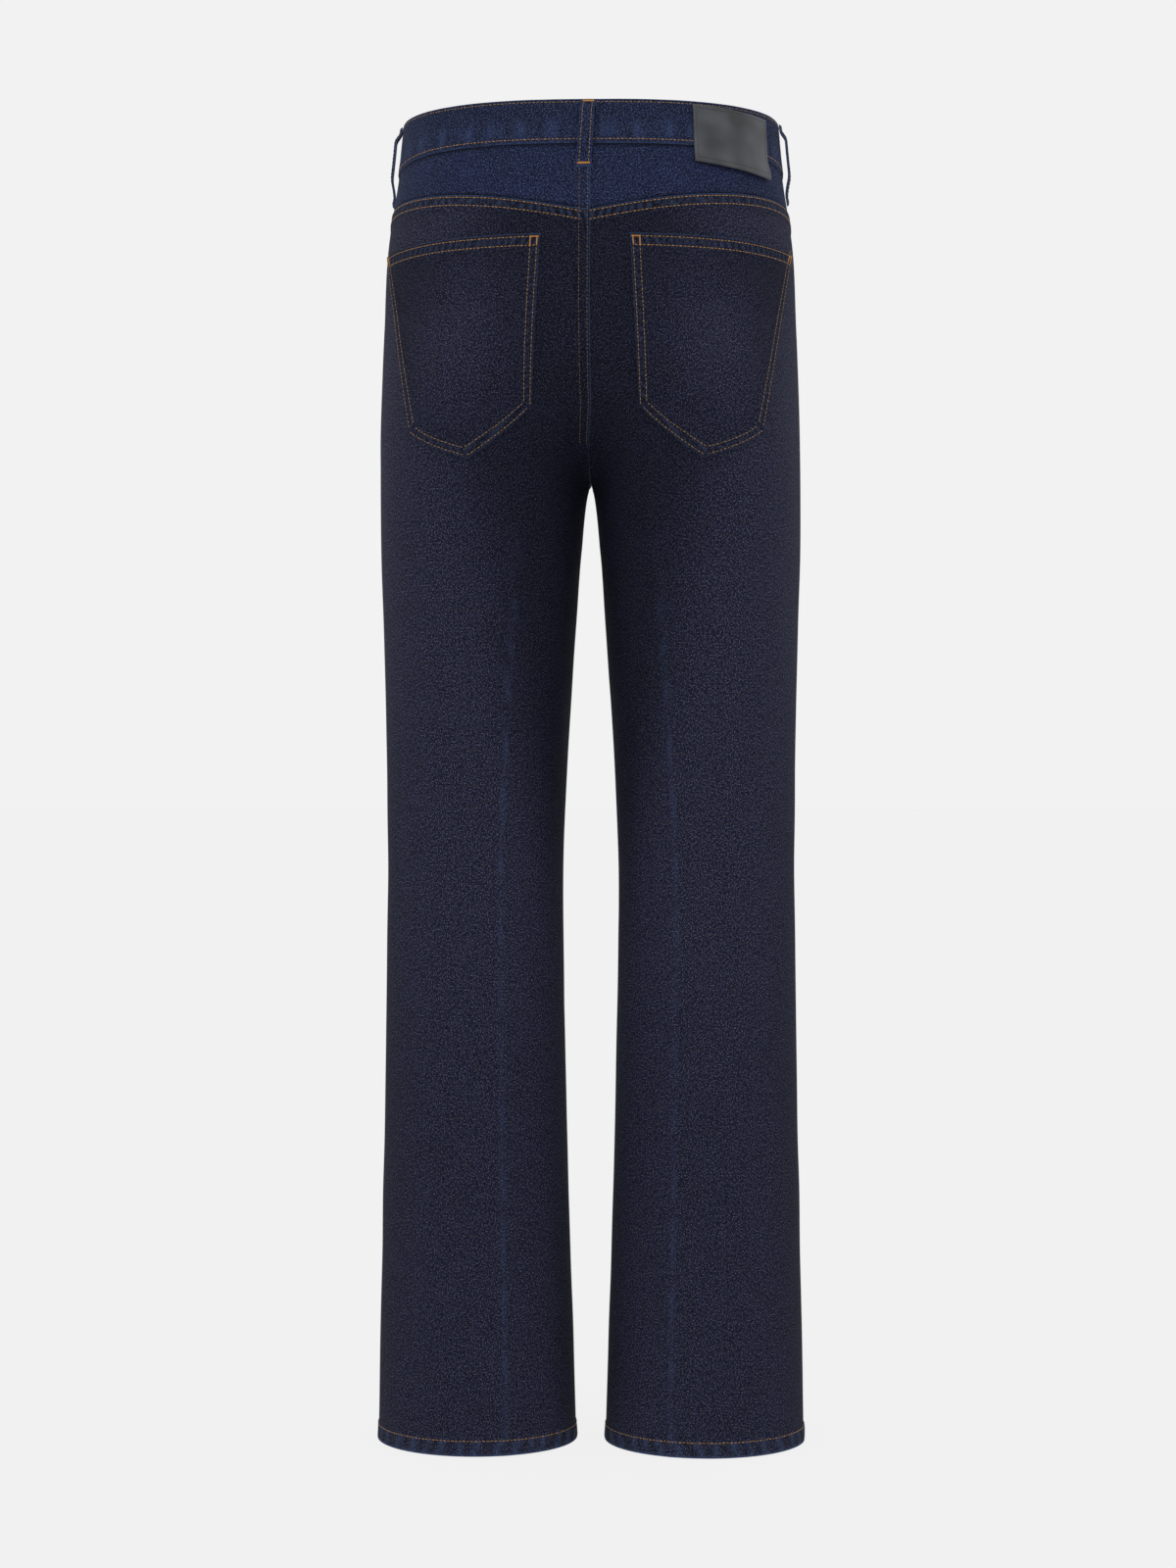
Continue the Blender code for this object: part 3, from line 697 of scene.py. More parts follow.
def makeDenim(name, look):
    # indigo 3/1 twill denim, woven: dark warp, paler weft in specks, matt, worn pale along folds, and
    # painted light and shade from the marks
    dark, light, warmTone, wornTone, fleckTone = (linear(code) for code in look)
    made, tree = startMaterial(name)
    uv = add(tree, "UVMap", uv_map="pattern").outputs[0]
    flat = scaled(tree, uv, (1000, 1000, 1000))
    split = add(tree, "SeparateXYZ", {0: flat})
    size, angle = denimScale, math.radians(denimScale["slope"])
    rightward = times(tree, split.outputs[0], math.sin(angle) / size["twill"])
    upward = times(tree, split.outputs[1], math.cos(angle) / size["twill"])
    wave = maths(tree, "SINE", times(tree, maths(tree, "SUBTRACT", rightward, upward), math.tau))
    twill = plus(tree, times(tree, wave, 0.5), 0.5)
    grain = noiseOf(tree, flat, size["grain"], 3.0, 0.75)
    warmGrain = noiseOf(tree, scaled(tree, flat, (1.0, 0.62, 1.0)), size["grain"] * 1.25, 1.0, 0.5)
    slub = noiseOf(tree, scaled(tree, flat, (1 / size["slub"], 1 / size["slubLong"], 1)), 1.0, 2.0, 0.55)
    mottle = noiseOf(tree, flat, size["mottle"], 3.0, 0.55)
    fleck = noiseOf(tree, scaled(tree, flat, (1.0, 0.75, 1.0)), size["fleck"], 2.0, 0.7)
    # a mark of worn fading mixed with painted light and shade: it lightens or darkens the tone, warms it
    # and lets flecks show
    fade = markOf(tree, "fade")
    tone = plus(tree, times(tree, levelsOf(tree, grain, 0.45, 0.58), 0.70), times(tree, twill, 0.14))
    tone = plus(tree, tone, levelsOf(tree, slub, 0.3, 0.7, (-0.10, 0.14)))
    tone = plus(tree, tone, levelsOf(tree, mottle, 0.3, 0.7, (-0.07, 0.09)))
    tone = plus(tree, tone, levelsOf(tree, fade, 0.0, 1.0, (-0.16, 0.26)), True)
    blue = blend(tree, tone, dark, light)
    warm = levelsOf(tree, warmGrain, 0.53, 0.72, (0.0, 0.55))
    blue = blend(tree, times(tree, warm, levelsOf(tree, fade, 0.0, 1.0, (0.25, 1.0))), blue, warmTone)
    flecked = times(tree, levelsOf(tree, fleck, 0.565, 0.65), levelsOf(tree, fade, 0.0, 1.0, (0.45, 1.0)))
    blue = blend(tree, flecked, blue, fleckTone)
    worn = times(tree, markOf(tree, "wear"), levelsOf(tree, grain, 0.25, 0.6, (0.25, 1.0)))
    outside = blend(tree, worn, blue, wornTone)
    # painted shade: pucker troughs and the yoke under the waistband darkened towards near black
    outside = blend(tree, times(tree, markOf(tree, "dark"), 0.85), outside, linear(paintedShadeBlack))
    weft = blend(tree, levelsOf(tree, grain, 0.3, 0.7), *(linear(code) for code in weftPale))
    colour = blend(tree, markOf(tree, "inside"), outside, weft)
    height = plus(tree, times(tree, twill, 0.5), times(tree, grain, 0.5))
    bump = add(tree, "Bump", {"Height": height, "Strength": 0.55, "Distance": 0.00035})
    shader = add(tree, "BsdfPrincipled", {
        "Base Color": colour,
        "Roughness": 0.88,
        "Specular IOR Level": 0.08,
        "Sheen Weight": 0.01,
        "Sheen Roughness": 0.5,
        "Sheen Tint": linear("#c3cbe0"),
        "Normal": bump.outputs[0],
    })
    add(tree, "OutputMaterial", {0: shader.outputs[0]})
    return made


def makeThread(name, dark, light):
    # waxed cotton thread or cotton tape: dull, each strand a little lighter or darker
    made, tree = startMaterial(name)
    colour = blend(tree, markOf(tree, "shade"), linear(dark), linear(light))
    shader = add(tree, "BsdfPrincipled", {"Base Color": colour, "Roughness": 0.7, "Sheen Weight": 0.2})
    add(tree, "OutputMaterial", {0: shader.outputs[0]})
    return made


def makeLeather(name):
    # drum-dyed black leather, rolled smooth: a painted soft grey sheen in broad clouds over 0.9 mm pores
    made, tree = startMaterial(name)
    uv = add(tree, "UVMap", uv_map="pattern").outputs[0]
    flat = scaled(tree, uv, (1000, 1000, 1000))
    pores = add(tree, "TexVoronoi", {"Vector": flat, "Scale": 1 / 0.9}).outputs["Distance"]
    cloud = noiseOf(tree, flat, 26.0, 1.0)
    # painted sheen: broad clouds blend the colour from near black to grey
    colour = blend(tree, levelsOf(tree, cloud, 0.3, 0.7), linear("#191b1e"), linear("#3a3d43"))
    colour = blend(tree, maths(tree, "MULTIPLY", markOf(tree, "wear"), 0.7), colour, linear("#0e0f11"))
    bump = add(tree, "Bump", {"Height": pores, "Strength": 0.25, "Distance": 0.0001})
    shader = add(tree, "BsdfPrincipled", {
        "Base Color": colour,
        "Roughness": levelsOf(tree, cloud, 0.3, 0.7, (0.40, 0.46)),
        "Normal": bump.outputs[0],
    })
    add(tree, "OutputMaterial", {0: shader.outputs[0]})
    return made


def makeMetal(name, dark, light, roughness):
    # stamped brass, tumbled smooth: a soft gold shine with faint clouds
    made, tree = startMaterial(name)
    place = add(tree, "TexCoord").outputs["Object"]
    cloud = add(tree, "TexNoise", {"Vector": place, "Scale": 900.0, "Detail": 3.0}).outputs["Fac"]
    colour = blend(tree, levelsOf(tree, cloud, 0.35, 0.65), linear(dark), linear(light))
    shader = add(tree, "BsdfPrincipled", {
        "Base Color": colour,
        "Metallic": 1.0,
        "Roughness": levelsOf(tree, cloud, 0.3, 0.7, (roughness, roughness + 0.12)),
    })
    add(tree, "OutputMaterial", {0: shader.outputs[0]})
    return made


bodyDenim = makeDenim("indigo_denim", denimLook["body"])
yokeDenim = makeDenim("indigo_denim_yoke", denimLook["yoke"])
bandDenim = makeDenim("indigo_denim_band", denimLook["band"])
orangeThread = makeThread("orange_thread", "#8c6124", "#c48e40")
goldThread = makeThread("gold_thread", "#71532b", "#a27c44")
brownThread = makeThread("brown_thread", "#453523", "#71552f")
tackThread = makeThread("tack_thread", "#9a6320", "#cb8b38")
blackLeather = makeLeather("black_leather")
zipTape = makeThread("zip_tape", "#15192a", "#20263c")
brass = makeMetal("brass", "#a8823f", "#c9a25c", 0.28)
print("materials made")

sides = ((1, "left"), (-1, "right"))
for side, word in sides:
    clothPiece(
        f"back_panel_{word}", spread(panelWidth["back"], coarse=0.0038), backRows(),
        backPlace(side), bodyDenim,
        (f"back_{word}",), side, holdMiddle(1, side > 0),
    )
    clothPiece(
        f"front_panel_{word}", spread(panelWidth["front"], coarse=0.0042), frontRows(),
        frontPlace(side), bodyDenim,
        (f"front_{word}",), side, holdMiddle(-1),
    )
    clothPiece(
        f"back_yoke_{word}", spread(panelWidth["yoke"], coarse=0.0020), np.linspace(0, 1, 38),
        yokePlace(side),
        yokeDenim, (f"yoke_{word}",), side, holdMiddle(1, side > 0),
    )
print("panels made")

bandColumns = np.linspace(bandFirst, bandLast, 640)
bandRows = spread(1.0, fine=0.02, coarse=0.045, near=0.12)
waist = clothPiece(
    "waistband_strip", bandColumns, bandRows, bandPlace, bandDenim, ("waistband",)
)
print("waistband made")

pocket = {
    # corners in turn: cloth from the side seam, and drop
    "corners": np.array(
        [(0.2229, 0.1112), (0.0545, 0.1133), (0.1294, 0.2642), (0.1784, 0.2858), (0.2347, 0.2450)]
    ),
    "thick": 0.0013,
    "bow": 0.0026,
    "rows": (0.0022, 0.0075),
    "mouthRows": (0.0030, 0.0100),
}


def pocketFlat(s, t):
    innerTop, outerTop, outerEnd, tip, innerEnd = pocket["corners"]
    turn = (tip[0] - innerEnd[0]) / (outerEnd[0] - innerEnd[0])
    across = np.stack([s, s], axis=-1)
    upper = innerTop + (outerTop - innerTop) * across
    left = innerEnd + (tip - innerEnd) * np.minimum(across / turn, 1)
    right = (outerEnd - tip) * np.maximum((across - turn) / (1 - turn), 0)
    return upper + (left + right - upper) * np.stack([t, t], axis=-1)


def hangStraight(a, b):
    # how far an edge from corner a to b is shifted along the cloth for it to hang straight
    drops, g = np.linspace(a[1], b[1], 60), np.linspace(0, 0.49, 1500)
    ends = [barePoint(sideSeam(c[1]) - c[0] / girth(c[1]), c[1])[0] for c in (a, b)]
    wanted = np.interp(drops, (a[1], b[1]), ends)
    found = np.array([np.interp(x, barePoint(g, np.full(1500, d))[:, 0], g) for x, d in zip(wanted, drops)])
    return drops, (sideSeam(drops) - found) * girth(drops) - np.interp(drops, (a[1], b[1]), (a[0], b[0]))


innerShift = hangStraight(pocket["corners"][0], pocket["corners"][4])
outerShift = hangStraight(pocket["corners"][1], pocket["corners"][2])


def pocketShift(fromSide, drop):
    # what laying the pocket on the body adds to its flat place: across, and down at its lower edges
    innerTop, outerTop, outerEnd, tip, innerEnd = pocket["corners"]
    inner = np.interp(drop, (innerTop[1], innerEnd[1]), (innerTop[0], innerEnd[0]))
    outer = np.interp(drop, (outerTop[1], outerEnd[1]), (outerTop[0], outerEnd[0]))
    s = np.clip((inner - fromSide) / (inner - outer), 0, 1)
    across = (1 - s) * np.interp(drop, *innerShift) + s * np.interp(drop, *outerShift)
    w = np.where(fromSide < tip[0], (fromSide - outerEnd[0]) / (tip[0] - outerEnd[0]),
                 (innerEnd[0] - fromSide) / (innerEnd[0] - tip[0]))
    w = np.clip(w, 0, 1)
    return across, pocket["bow"] * 4 * w * (1 - w) * ease((drop - 0.20) / 0.05)


def laidPocket(flat):
    # g and drop of a point of the flat pocket
    across, down = pocketShift(flat[..., 0], flat[..., 1])
    drop = flat[..., 1] + down
    return sideSeam(drop) - (flat[..., 0] + across) / girth(drop), drop


def flatPocket(g, drop):
    laid = np.stack([(sideSeam(drop) - g) * girth(drop), drop], axis=-1)
    flat = laid
    for step in range(3):
        flat = laid - np.stack(pocketShift(flat[..., 0], flat[..., 1]), axis=-1)
    return flat


def edgeDistances(flat):
    # how far each point lies from the pocket's mouth, and from the nearest of its other edges
    ends = np.roll(pocket["corners"], -1, axis=0)
    away = []
    for a, b in zip(pocket["corners"], ends):
        run = (b - a) / np.linalg.norm(b - a)
        off = flat - a
        away.append(np.abs(off[..., 0] * run[1] - off[..., 1] * run[0]))
    return away[0], np.minimum.reduce(away[1:])


def pocketLift(flat):
    top, others = edgeDistances(flat)
    edge = np.minimum(top, others)
    rim = np.sqrt(np.clip(edge / 0.0010 + 0.05, 0, 1))
    doubled = np.maximum(1 - ease((others - 0.010) / 0.003), 1 - ease((top - 0.013) / 0.002))
    pulled = sum(hump(others, row, 0.0010) for row in pocket["rows"])
    pulled = pulled * ease((top - 0.001) / 0.002)
    pulled = pulled + sum(hump(top, row, 0.0010) for row in pocket["mouthRows"])
    return cloth["lay"] + pocket["thick"] * rim + 0.0004 * doubled * rim - 0.0002 * np.minimum(pulled, 1)


def pocketPlace(x, row):
    flat = pocketFlat(x, row)
    fromSide, down = flat[..., 0], flat[..., 1]
    top, others = edgeDistances(flat)
    g, drop = laidPocket(flat)
    rope = 0.5 * puckers(fromSide + down, others, pucker["edge"]) * hump(others, 0.005, 0.003)
    rope = rope + puckers(fromSide, top, pucker["mouth"]) * hump(top, 0.0065, 0.003)
    lift = swell(g, drop)
    outer = lift + pocketLift(flat) + 0.0002 * rope
    wear = 0.35 * np.clip(1 - others / 0.0015, 0, 1) + 0.6 * np.clip(1 - top / 0.0015, 0, 1)
    wear = wear + 0.4 * np.clip(rope, 0, 1)
    # a paler middle, partly worn fading and partly painted light on the seat's curve
    pale = hump(fromSide, 0.160, 0.050) * hump(down, 0.20, 0.08)
    # painted shade in the troughs between the puckers of the edges and the mouth
    dark = 0.45 * np.clip(-rope, 0, 1)
    return {"g": g, "drop": drop, "outer": outer, "inner": lift + cloth["lay"], "u": fromSide, "v": -down,
            "wear": np.clip(wear, 0, 1), "dark": dark, "fade": pale, "away": others}


outerX, tipX, innerX = pocket["corners"][2:, 0]
turn = (tipX - innerX) / (outerX - innerX)
half = spread(0.075, fine=0.0010, coarse=0.0022, near=0.012) / 0.075
pocketColumns = np.concatenate([half * turn, turn + half[1:] * (1 - turn)])
pocketRows = spread(0.160, fine=0.0010, coarse=0.0026, near=0.013) / 0.160
for side, word in sides:
    clothPiece(
        f"patch_pocket_{word}", pocketColumns, pocketRows, pocketPlace, bodyDenim,
        (f"back_pocket_{word}",), side,
    )
print("pockets made")

loops = {
    "wide": 0.0118, "top": 0.001, "thick": 0.0019, "stand": 0.0037, "row": 0.0036,
    # name, part of the half girth, side, length, and how far the top leans to the wearer's right
    "places": (
        ("belt_loop_back", 0.000, 1, 0.0570, 0.0030),
        ("belt_loop_side_left", 0.479, 1, 0.0660, 0.0),
        ("belt_loop_side_right", 0.479, -1, 0.0660, 0.0),
        ("belt_loop_front_left", 0.800, 1, 0.0620, 0.0),
        ("belt_loop_front_right", 0.800, -1, 0.0620, 0.0),
    ),
}


def loopInner(drop, long):
    # the loop's inner face: tacked at both ends and standing off the band between them
    onBand = 1 - ease((drop - 0.040) / 0.012)
    stand = ease((drop - 0.004) / 0.010) * (1 - ease((drop - long + 0.022) / 0.018))
    return cloth["lay"] + band["proud"] * onBand + loops["stand"] * stand


def loopPlace(middle, long, lean):
    def place(x, row):
        drop = loops["top"] + long * row
        shift = (x - 0.5) * loops["wide"]
        ends = np.minimum(row, 1 - row) * long
        edge = np.minimum((0.5 - np.abs(x - 0.5)) * loops["wide"], ends)
        rim = np.sqrt(np.clip(edge / 0.0007 + 0.1, 0, 1))
        pulled = hump(np.abs(shift), loops["row"], 0.0008) + hump(ends, 0.0022, 0.0014)
        inner = loopInner(drop, long)
        outer = inner + loops["thick"] * rim - 0.0002 * pulled + 0.0001 * wobble(drop, 0.009)
        wear = 0.35 * np.clip(1 - edge / 0.0011, 0, 1) + 0.25 * np.clip(1 - ends / 0.0035, 0, 1)
        g = middle + (shift + lean * (row - 0.5)) / girth(0.03)
        return {"g": g, "drop": drop, "outer": outer, "inner": inner, "u": shift, "v": -drop,
                "wear": np.clip(wear, 0, 1), "fade": 0.3, "away": edge}

    return place


loopColumns = spread(1.0, fine=0.045, coarse=0.08, near=0.2)
loopRows = spread(1.0, fine=0.012, coarse=0.03, near=0.1)
for name, middle, side, long, lean in loops["places"]:
    clothPiece(
        f"{name}_strip", loopColumns, loopRows, loopPlace(middle, long, lean), bandDenim,
        (name,), side,
    )

patch = {"start": 0.086, "wide": 0.075, "tall": 0.049, "thick": 0.0014, "line": 0.0034, "top": 0.0028,
         "lean": 0.0035, "sag": 0.0035, "slip": 0.0032, "narrow": 0.0040}


def patchPlace(x, row):
    drop = patch["top"] + patch["lean"] * x + (patch["tall"] + patch["sag"] * x) * row
    across = patch["start"] + patch["wide"] * x - row * (patch["slip"] + patch["narrow"] * x)
    edge = np.minimum(np.minimum(x, 1 - x) * patch["wide"], np.minimum(row, 1 - row) * patch["tall"])
    rim = np.sqrt(np.clip(edge / 0.0008 + 0.05, 0, 1))
    line = hump(edge, patch["line"], 0.0004)
    inner = cloth["lay"] + band["proud"]
    free = 0.0022 * ease((drop - 0.040) / 0.016) * (0.4 + 0.6 * x)
    outer = inner + free + patch["thick"] * rim - 0.0003 * line + 0.0001 * wobble(across, 0.05)
    return {"g": across / girth(0.02), "drop": drop, "outer": outer, "inner": inner + free,
            "u": across, "v": -drop, "wear": line, "fade": 0.0, "away": edge}


def patchSteps(length):
    return spread(length, fine=0.0004, coarse=0.002, near=0.005) / length


patchPiece = clothPiece(
    "leather_patch_sheet", patchSteps(0.071), patchSteps(0.049), patchPlace, blackLeather,
    ("leather_patch",), -1,
)
print("loops and patch made")


def facingPlace(x, row):
    start = mouth["start"] - 0.07
    wide = start + (1 - start) * x
    past = np.maximum(wide - mouth["start"], 0) / (1 - mouth["start"])
    deep = mouth["margin"] + mouth["deep"] * np.sqrt(1 - (1 - past) ** 2)
    drop = frontTop(wide) + mouth["lay"] + deep * row
    g = 1 - wide * (1 - sideSeam(drop) - cloth["halfGap"] / girth(drop))
    outer = swell(g, drop) - cloth["denim"] - mouth["lay"]
    return {"g": g, "drop": drop, "outer": outer, "inner": outer - cloth["denim"], "u": g * girth(drop),
            "v": -drop, "wear": 0.0, "fade": 0.0, "away": drop}


for side, word in sides:
    clothPiece(
        f"pocket_facing_{word}", np.linspace(0, 1, 50), np.linspace(0, 1, 40), facingPlace, bodyDenim,
        (f"hip_facing_{word}",), side,
    )

shield = {"left": 0.036, "right": -0.030, "top": 0.0440, "end": 0.200}
zipper = {"middle": 0.006, "half": 0.014, "top": 0.0440, "end": 0.186, "tape": 0.0007,
          "bow": 0.0045, "lay": 0.0005, "pitch": 0.0025}
slider = {"top": 0.047, "body": 0.013, "end": 0.083, "half": 0.0042, "tabHalf": 0.0026}
flyLay = -cloth["denim"] - zipper["lay"]


def zipBow(x):
    return zipper["bow"] * ease((zipper["half"] - np.abs(x)) / (zipper["half"] * 0.64))


def stripPlace(top, end, outer, inner):
    def place(x, row):
        drop = top + (end - top) * row
        g = 1 - (zipper["middle"] + x) / girth(drop)
        return {"g": g, "drop": drop, "outer": outer(x), "inner": inner(x), "u": x, "v": -drop,
                "wear": 0.0, "fade": 0.0, "away": drop}

    return place


def tapeOuter(x):
    return flyLay - zipBow(x)


def shieldOuter(x):
    return tapeOuter(x) - zipper["tape"] - zipper["lay"]


tape = clothPiece(
    "zip_tape_strip", np.linspace(zipper["half"], -zipper["half"], 31), np.linspace(0, 1, 60),
    stripPlace(zipper["top"], zipper["end"], tapeOuter, lambda x: tapeOuter(x) - zipper["tape"]),
    zipTape, ("fly_zip",),
)
shieldEdges = [shield[edge] - zipper["middle"] for edge in ("left", "right")]
shieldPiece = clothPiece(
    "fly_shield_cloth", np.linspace(*shieldEdges, 50), np.linspace(0, 1, 60),
    stripPlace(shield["top"], shield["end"], shieldOuter, lambda x: shieldOuter(x) - cloth["denim"]),
    bodyDenim, ("fly_shield",),
)


def rounded(bm, width):
    bmesh.ops.bevel(
        bm, geom=bm.edges[:], offset=width, segments=2, profile=0.5, affect="EDGES", material=-1
    )


def metalPiece(name, bm, nodes):
    bmesh.ops.recalc_face_normals(bm, faces=bm.faces[:])
    mesh = bpy.data.meshes.new(name)
    bm.to_mesh(mesh)
    bm.free()
    mesh.shade_smooth()
    mesh.set_sharp_from_angle(angle=math.radians(40))
    return piece(name, mesh, brass, nodes)


def block(bm, size, along, away, at):
    # a rounded block, its length along and its thickness away from the cloth
    across = np.cross(along, away)
    for v in bmesh.ops.create_cube(bm, size=1)["verts"]:
        x, y, z = v.co.x * size[0], v.co.y * size[1], v.co.z * size[2]
        v.co = Vector(at + across * x + along * y + away * z)


def flyFrame(drop, x, out):
    g = 1 - (zipper["middle"] + x) / girth(drop)
    at = surface(g, drop, out)
    away = surface(g, drop, out + 0.001) - at
    along = surface(g, drop + 0.001, out) - at
    away /= np.linalg.norm(away)
    along -= away * np.dot(along, away)
    return at, along / np.linalg.norm(along), away


teeth = bmesh.new()
for n, drop in enumerate(np.arange(zipper["top"] + 0.020, zipper["end"] - 0.004, zipper["pitch"] / 2)):
    shift = 0.0009 if n % 2 else -0.0009
    at, along, away = flyFrame(drop, shift, float(tapeOuter(0.0)) + 0.0006)
    block(teeth, (0.0034, 0.0009, 0.0012), along, away, at)
rounded(teeth, 0.00018)
metalPiece("zip_teeth", teeth, ())

pull = bmesh.new()
bodyDrop = slider["top"] + slider["body"] / 2
tabDrop = (slider["top"] + slider["body"] + slider["end"]) / 2
at, along, away = flyFrame(bodyDrop, 0.0, flyLay - 0.0019)
block(pull, (slider["half"] * 2, slider["body"], 0.0026), along, away, at)
at, along, away = flyFrame(tabDrop, 0.0, flyLay - 0.0018)
tabLong = slider["end"] - slider["top"] - slider["body"]
block(pull, (slider["tabHalf"] * 2, tabLong, 0.0011), along, away, at)
rounded(pull, 0.0004)
metalPiece("zip_slider_metal", pull, ("zip_slider",))

button = {"dome": 0.0066, "domeTall": 0.0019, "rim": 0.0078, "rimThick": 0.0007, "rimTall": 0.0009,
          "shank": 0.0040, "lift": 0.0012}


def makeButton():
    # a domed cap with a rolled rim on a short neck, turned round its own axis
    bm = bmesh.new()
    dome = [(button["dome"] * math.sin(a), 0.0010 + button["domeTall"] * math.cos(a))
            for a in np.linspace(0, 1.45, 9)]
    rim = [(button["rim"] + button["rimThick"] * math.cos(a), 0.0011 + button["rimTall"] * math.sin(a))
           for a in np.linspace(2.4, -1.9, 10)]
    neck = [(button["shank"], -0.0005), (button["shank"], -button["lift"]), (0.0, -button["lift"])]
    points = [bm.verts.new((r, 0, h)) for r, h in dome + rim + neck]
    edges = [bm.edges.new(pair) for pair in zip(points, points[1:])]
    bmesh.ops.spin(bm, geom=points + edges, axis=(0, 0, 1), cent=(0, 0, 0), steps=48,
                   angle=math.tau, use_merge=True)
    bmesh.ops.remove_doubles(bm, verts=bm.verts[:], dist=1e-6)
    drop = band["back"] / 2
    foot = surface(1.0, drop, band["proud"] + band["lap"])
    normal = surface(1.0, drop, band["proud"] + band["lap"] + 0.001) - foot
    normal /= np.linalg.norm(normal)
    turned = Vector(normal).to_track_quat("Z", "Y").to_matrix().to_4x4()
    bmesh.ops.transform(bm, verts=bm.verts[:], matrix=turned)
    bmesh.ops.translate(bm, verts=bm.verts[:], vec=Vector(foot + normal * (button["lift"] + cloth["lay"])))
    return metalPiece("waist_button_cap", bm, ("waist_button",))


makeButton()
print("front pieces made")


bandGroup, bandTopGroup, yokeGroup, seamGroup, pocketGroup, pocketTopGroup = [], [], [], [], [], []
hemGroup, frontGroup, tackGroup, loopGroup = [], [], [], []

line = np.linspace(bandFirst + 0.004, bandLast - 0.004, 400)
foldedLine = np.where(np.abs(line) <= 1, np.abs(line), 2 - np.abs(line))
sewRow(bandTopGroup, line, np.full(400, 0.0028), lambda g, d: bandShift(g) + band["proud"])
sewRow(bandGroup, line, bandEnd(foldedLine) - 0.0032, lambda g, d: bandShift(g) + band["proud"])

for side, word in sides:
    s = np.linspace(0.01, 1, 200)
    for row in felled["rows"]:
        sewRow(yokeGroup, s * sideSeam(0.08), yokeEnd(s) + row,
               lambda g, d: swell(g, d) + felled["proud"], side)
    s = np.linspace(0, 1, 300)
    sewRow(hemGroup, s, np.full(300, body["length"] - hem["row"]), hem["proud"] - 0.0001, side)

rise = np.linspace(0.046, 0.268, 200)
for row in felled["rows"]:
    sewRow(seamGroup, (row - seamLap(rise)) / girth(rise), rise,
           lambda g, d: swell(np.abs(g), d) + felled["proud"] + felled["overlap"])


def insetLine(a, b, off, trimA, trimB):
    # the line from corner a to b, moved off inwards and trimmed at both ends
    run = (b - a) / np.linalg.norm(b - a)
    normal = np.array([-run[1], run[0]])
    normal *= np.sign(np.dot(pocket["corners"].mean(axis=0) - a, normal))
    return a + run * trimA + normal * off, b - run * trimB + normal * off


def pocketOut(g, drop):
    return swell(g, drop) + pocketLift(flatPocket(g, drop))


def onPocket(a, b):
    return laidPocket(a + (b - a) * np.linspace(0, 1, 120)[:, None])


def pocketStitches(side):
    corner, first, second = pocket["corners"], *pocket["rows"]
    for off in pocket["mouthRows"]:
        mouthLine = insetLine(corner[0], corner[1], off, 0.002, 0.002)
        sewRow(pocketTopGroup, *onPocket(*mouthLine), pocketOut, side)
    for off in pocket["rows"]:
        for n in (1, 2, 3, 4):
            a, b = corner[n], corner[(n + 1) % 5]
            trims = (0.001 if n == 1 else off * 0.6, 0.001 if n == 4 else off * 0.6)
            sewRow(pocketGroup, *onPocket(*insetLine(a, b, off, *trims)), pocketOut, side)
    for near, end in ((0, 4), (1, 2)):
        inward = (corner[1 - near] - corner[near]) / np.linalg.norm(corner[1 - near] - corner[near])
        downward = (corner[end] - corner[near]) / np.linalg.norm(corner[end] - corner[near])
        start = corner[near] + inward * first + downward * pocket["mouthRows"][0]
        across, down = inward * (second - first), downward * np.ptp(pocket["mouthRows"])
        topTack = onPocket(start - inward * 0.0012, start + across * 1.15)
        sewTack(tackGroup, *topTack, pocketOut, side, 0.0013)
        sewTack(tackGroup, *onPocket(start, start + down), pocketOut, side, 0.0011)
        sewTack(tackGroup, *onPocket(start + across, start + across + down), pocketOut, side, 0.0011)


for side, word in sides:
    pocketStitches(side)

for name, middle, side, long, lean in loops["places"]:
    drops = np.linspace(loops["top"] + 0.0030, loops["top"] + long - 0.0010, 60)
    leaning = lean * ((drops - loops["top"]) / long - 0.5)
    for shift in (-loops["row"], loops["row"]):
        sewRow(loopGroup, middle + (shift + leaning) / girth(0.03), drops,
               lambda g, d: loopInner(d, long) + loops["thick"] - 0.00005, side)
    for at, slip in ((0.0022, -lean / 2), (long - 0.0030, lean / 2)):
        shifts = np.linspace(-0.0048, 0.0048, 20)
        sewTack(tackGroup, middle + (shifts + slip) / girth(0.03), np.full(20, loops["top"] + at),
                lambda g, d: loopInner(d, long) + loops["thick"], side, 0.0020)

for side, word in sides:
    # the hip pocket's mouth, and the fly's stitching on the left front
    s = np.linspace(5 / 12, 1, 200)
    wide, deep = scoop(s)
    for off in (0.0025, 0.0085):
        drop = frontTop(wide) + deep + off
        g = 1 - (wide - off * 1.5 * (s - 5 / 12)) * (1 - sideSeam(drop))
        sewRow(frontGroup, g, drop, lambda g, d: swell(g, d) + 0.0005, side)
for off in (0.030, 0.0245):
    k = np.linspace(0, 1, 200)
    curve = np.clip((k - 0.75) / 0.25, 0, 1) * math.pi / 2
    drop = np.where(k > 0.75, 0.166 + (0.010 + off * 0.5) * np.sin(curve), 0.046 + 0.120 * k / 0.75)
    across = np.where(k > 0.75, off * np.cos(curve) - 0.002 * np.sin(curve), off)
    sewRow(frontGroup, 1 - across / girth(drop), drop, lambda g, d: swell(g, d) + fly["proud"])

threads = {
    "stitches_band_top": (bandTopGroup, goldThread),
    "stitches_band": (bandGroup, orangeThread),
    "stitches_yoke": (yokeGroup, orangeThread),
    "stitches_seat_seam": (seamGroup, brownThread),
    "stitches_pockets": (pocketGroup, goldThread),
    "stitches_pocket_mouths": (pocketTopGroup, orangeThread),
    "stitches_hems": (hemGroup, orangeThread),
    "stitches_loops": (loopGroup, goldThread),
    "stitches_front": (frontGroup, orangeThread),
    "bar_tacks": (tackGroup, tackThread),
}
for name, (group, stuff) in threads.items():
    threadPiece(name, group, stuff)
print("stitches made")

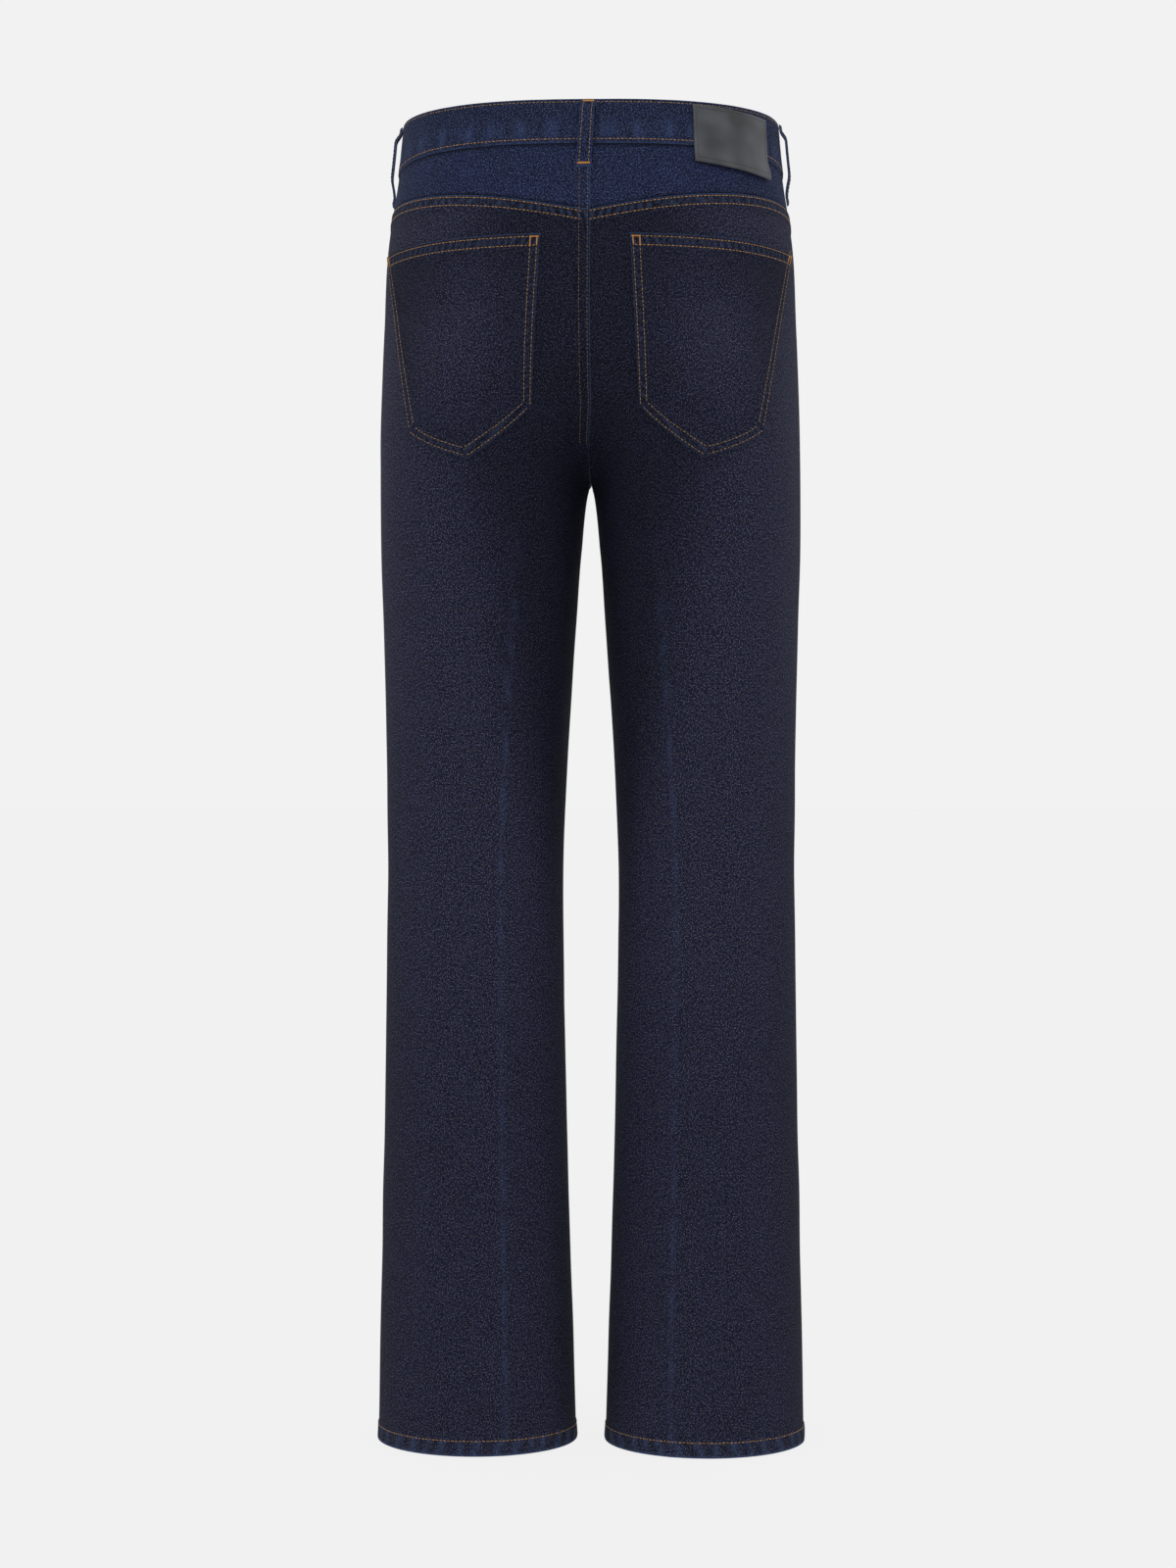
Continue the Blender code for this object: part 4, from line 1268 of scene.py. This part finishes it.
for name, middle, side, long, lean in loops["places"]:
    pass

studio = {"pale": "#f2f2f2", "fill": 1.0, "sideWatts": 1.5, "topWatts": 7.0, "distance": 2.4,
          "azimuth": 182.0, "height": -0.541, "focal": 66.7, "shift": 0.0024}


def makeStage():
    floorStuff, tree = startMaterial("pale_floor")
    shader = add(tree, "BsdfPrincipled", {
        "Base Color": (0.04, 0.04, 0.04, 1),
        "Roughness": 1.0,
        "Specular IOR Level": 0.0,
        "Emission Color": linear(studio["pale"]),
        "Emission Strength": 0.95,
    })
    add(tree, "OutputMaterial", {0: shader.outputs[0]})
    bm = bmesh.new()
    bmesh.ops.create_grid(bm, x_segments=1, y_segments=1, size=60)
    bmesh.ops.translate(bm, verts=bm.verts[:], vec=(0, 0, -body["length"] - 0.0006))
    mesh = bpy.data.meshes.new("floor")
    bm.to_mesh(mesh)
    bm.free()
    mesh.materials.append(floorStuff)
    floor = bpy.data.objects.new("floor", mesh)
    bpy.context.scene.collection.objects.link(floor)


def softLight(name, at, watts, size, target=(0, 0, -0.54)):
    light = bpy.data.lights.new(name, "AREA")
    light.energy = watts
    light.size = size
    made = bpy.data.objects.new(name, light)
    made.location = at
    made.rotation_euler = (Vector(target) - Vector(at)).to_track_quat("-Z", "Y").to_euler()
    bpy.context.scene.collection.objects.link(made)


def makeStudio():
    world = bpy.data.worlds.new("studio")
    bpy.context.scene.world = world
    world.use_nodes = True
    sky = world.node_tree.nodes["Background"]
    sky.inputs["Color"].default_value = linear(studio["pale"])
    sky.inputs["Strength"].default_value = studio["fill"]
    softLight("soft_left", (1.9, 0.9, 0.1), studio["sideWatts"], 1.6)
    softLight("soft_right", (-1.9, 0.9, 0.1), studio["sideWatts"], 1.6)
    softLight("soft_top", (0.0, 1.6, 1.6), studio["topWatts"], 1.4)
    view = bpy.context.scene.view_settings
    view.view_transform = "Standard"
    view.look = "None"


def makeCamera():
    angle = math.radians(studio["azimuth"])
    lens = bpy.data.cameras.new("camera")
    lens.lens = studio["focal"]
    lens.sensor_width = 36
    camera = bpy.data.objects.new("camera", lens)
    back = Vector((math.sin(angle), -math.cos(angle), 0))
    sideways = Vector((-back.y, back.x, 0))
    camera.location = back * studio["distance"] - sideways * studio["shift"]
    camera.location.z = studio["height"]
    camera.rotation_euler = back.to_track_quat("Z", "Y").to_euler()
    bpy.context.scene.collection.objects.link(camera)
    bpy.context.scene.camera = camera


makeStage()
makeStudio()
makeCamera()
print("scene ready")
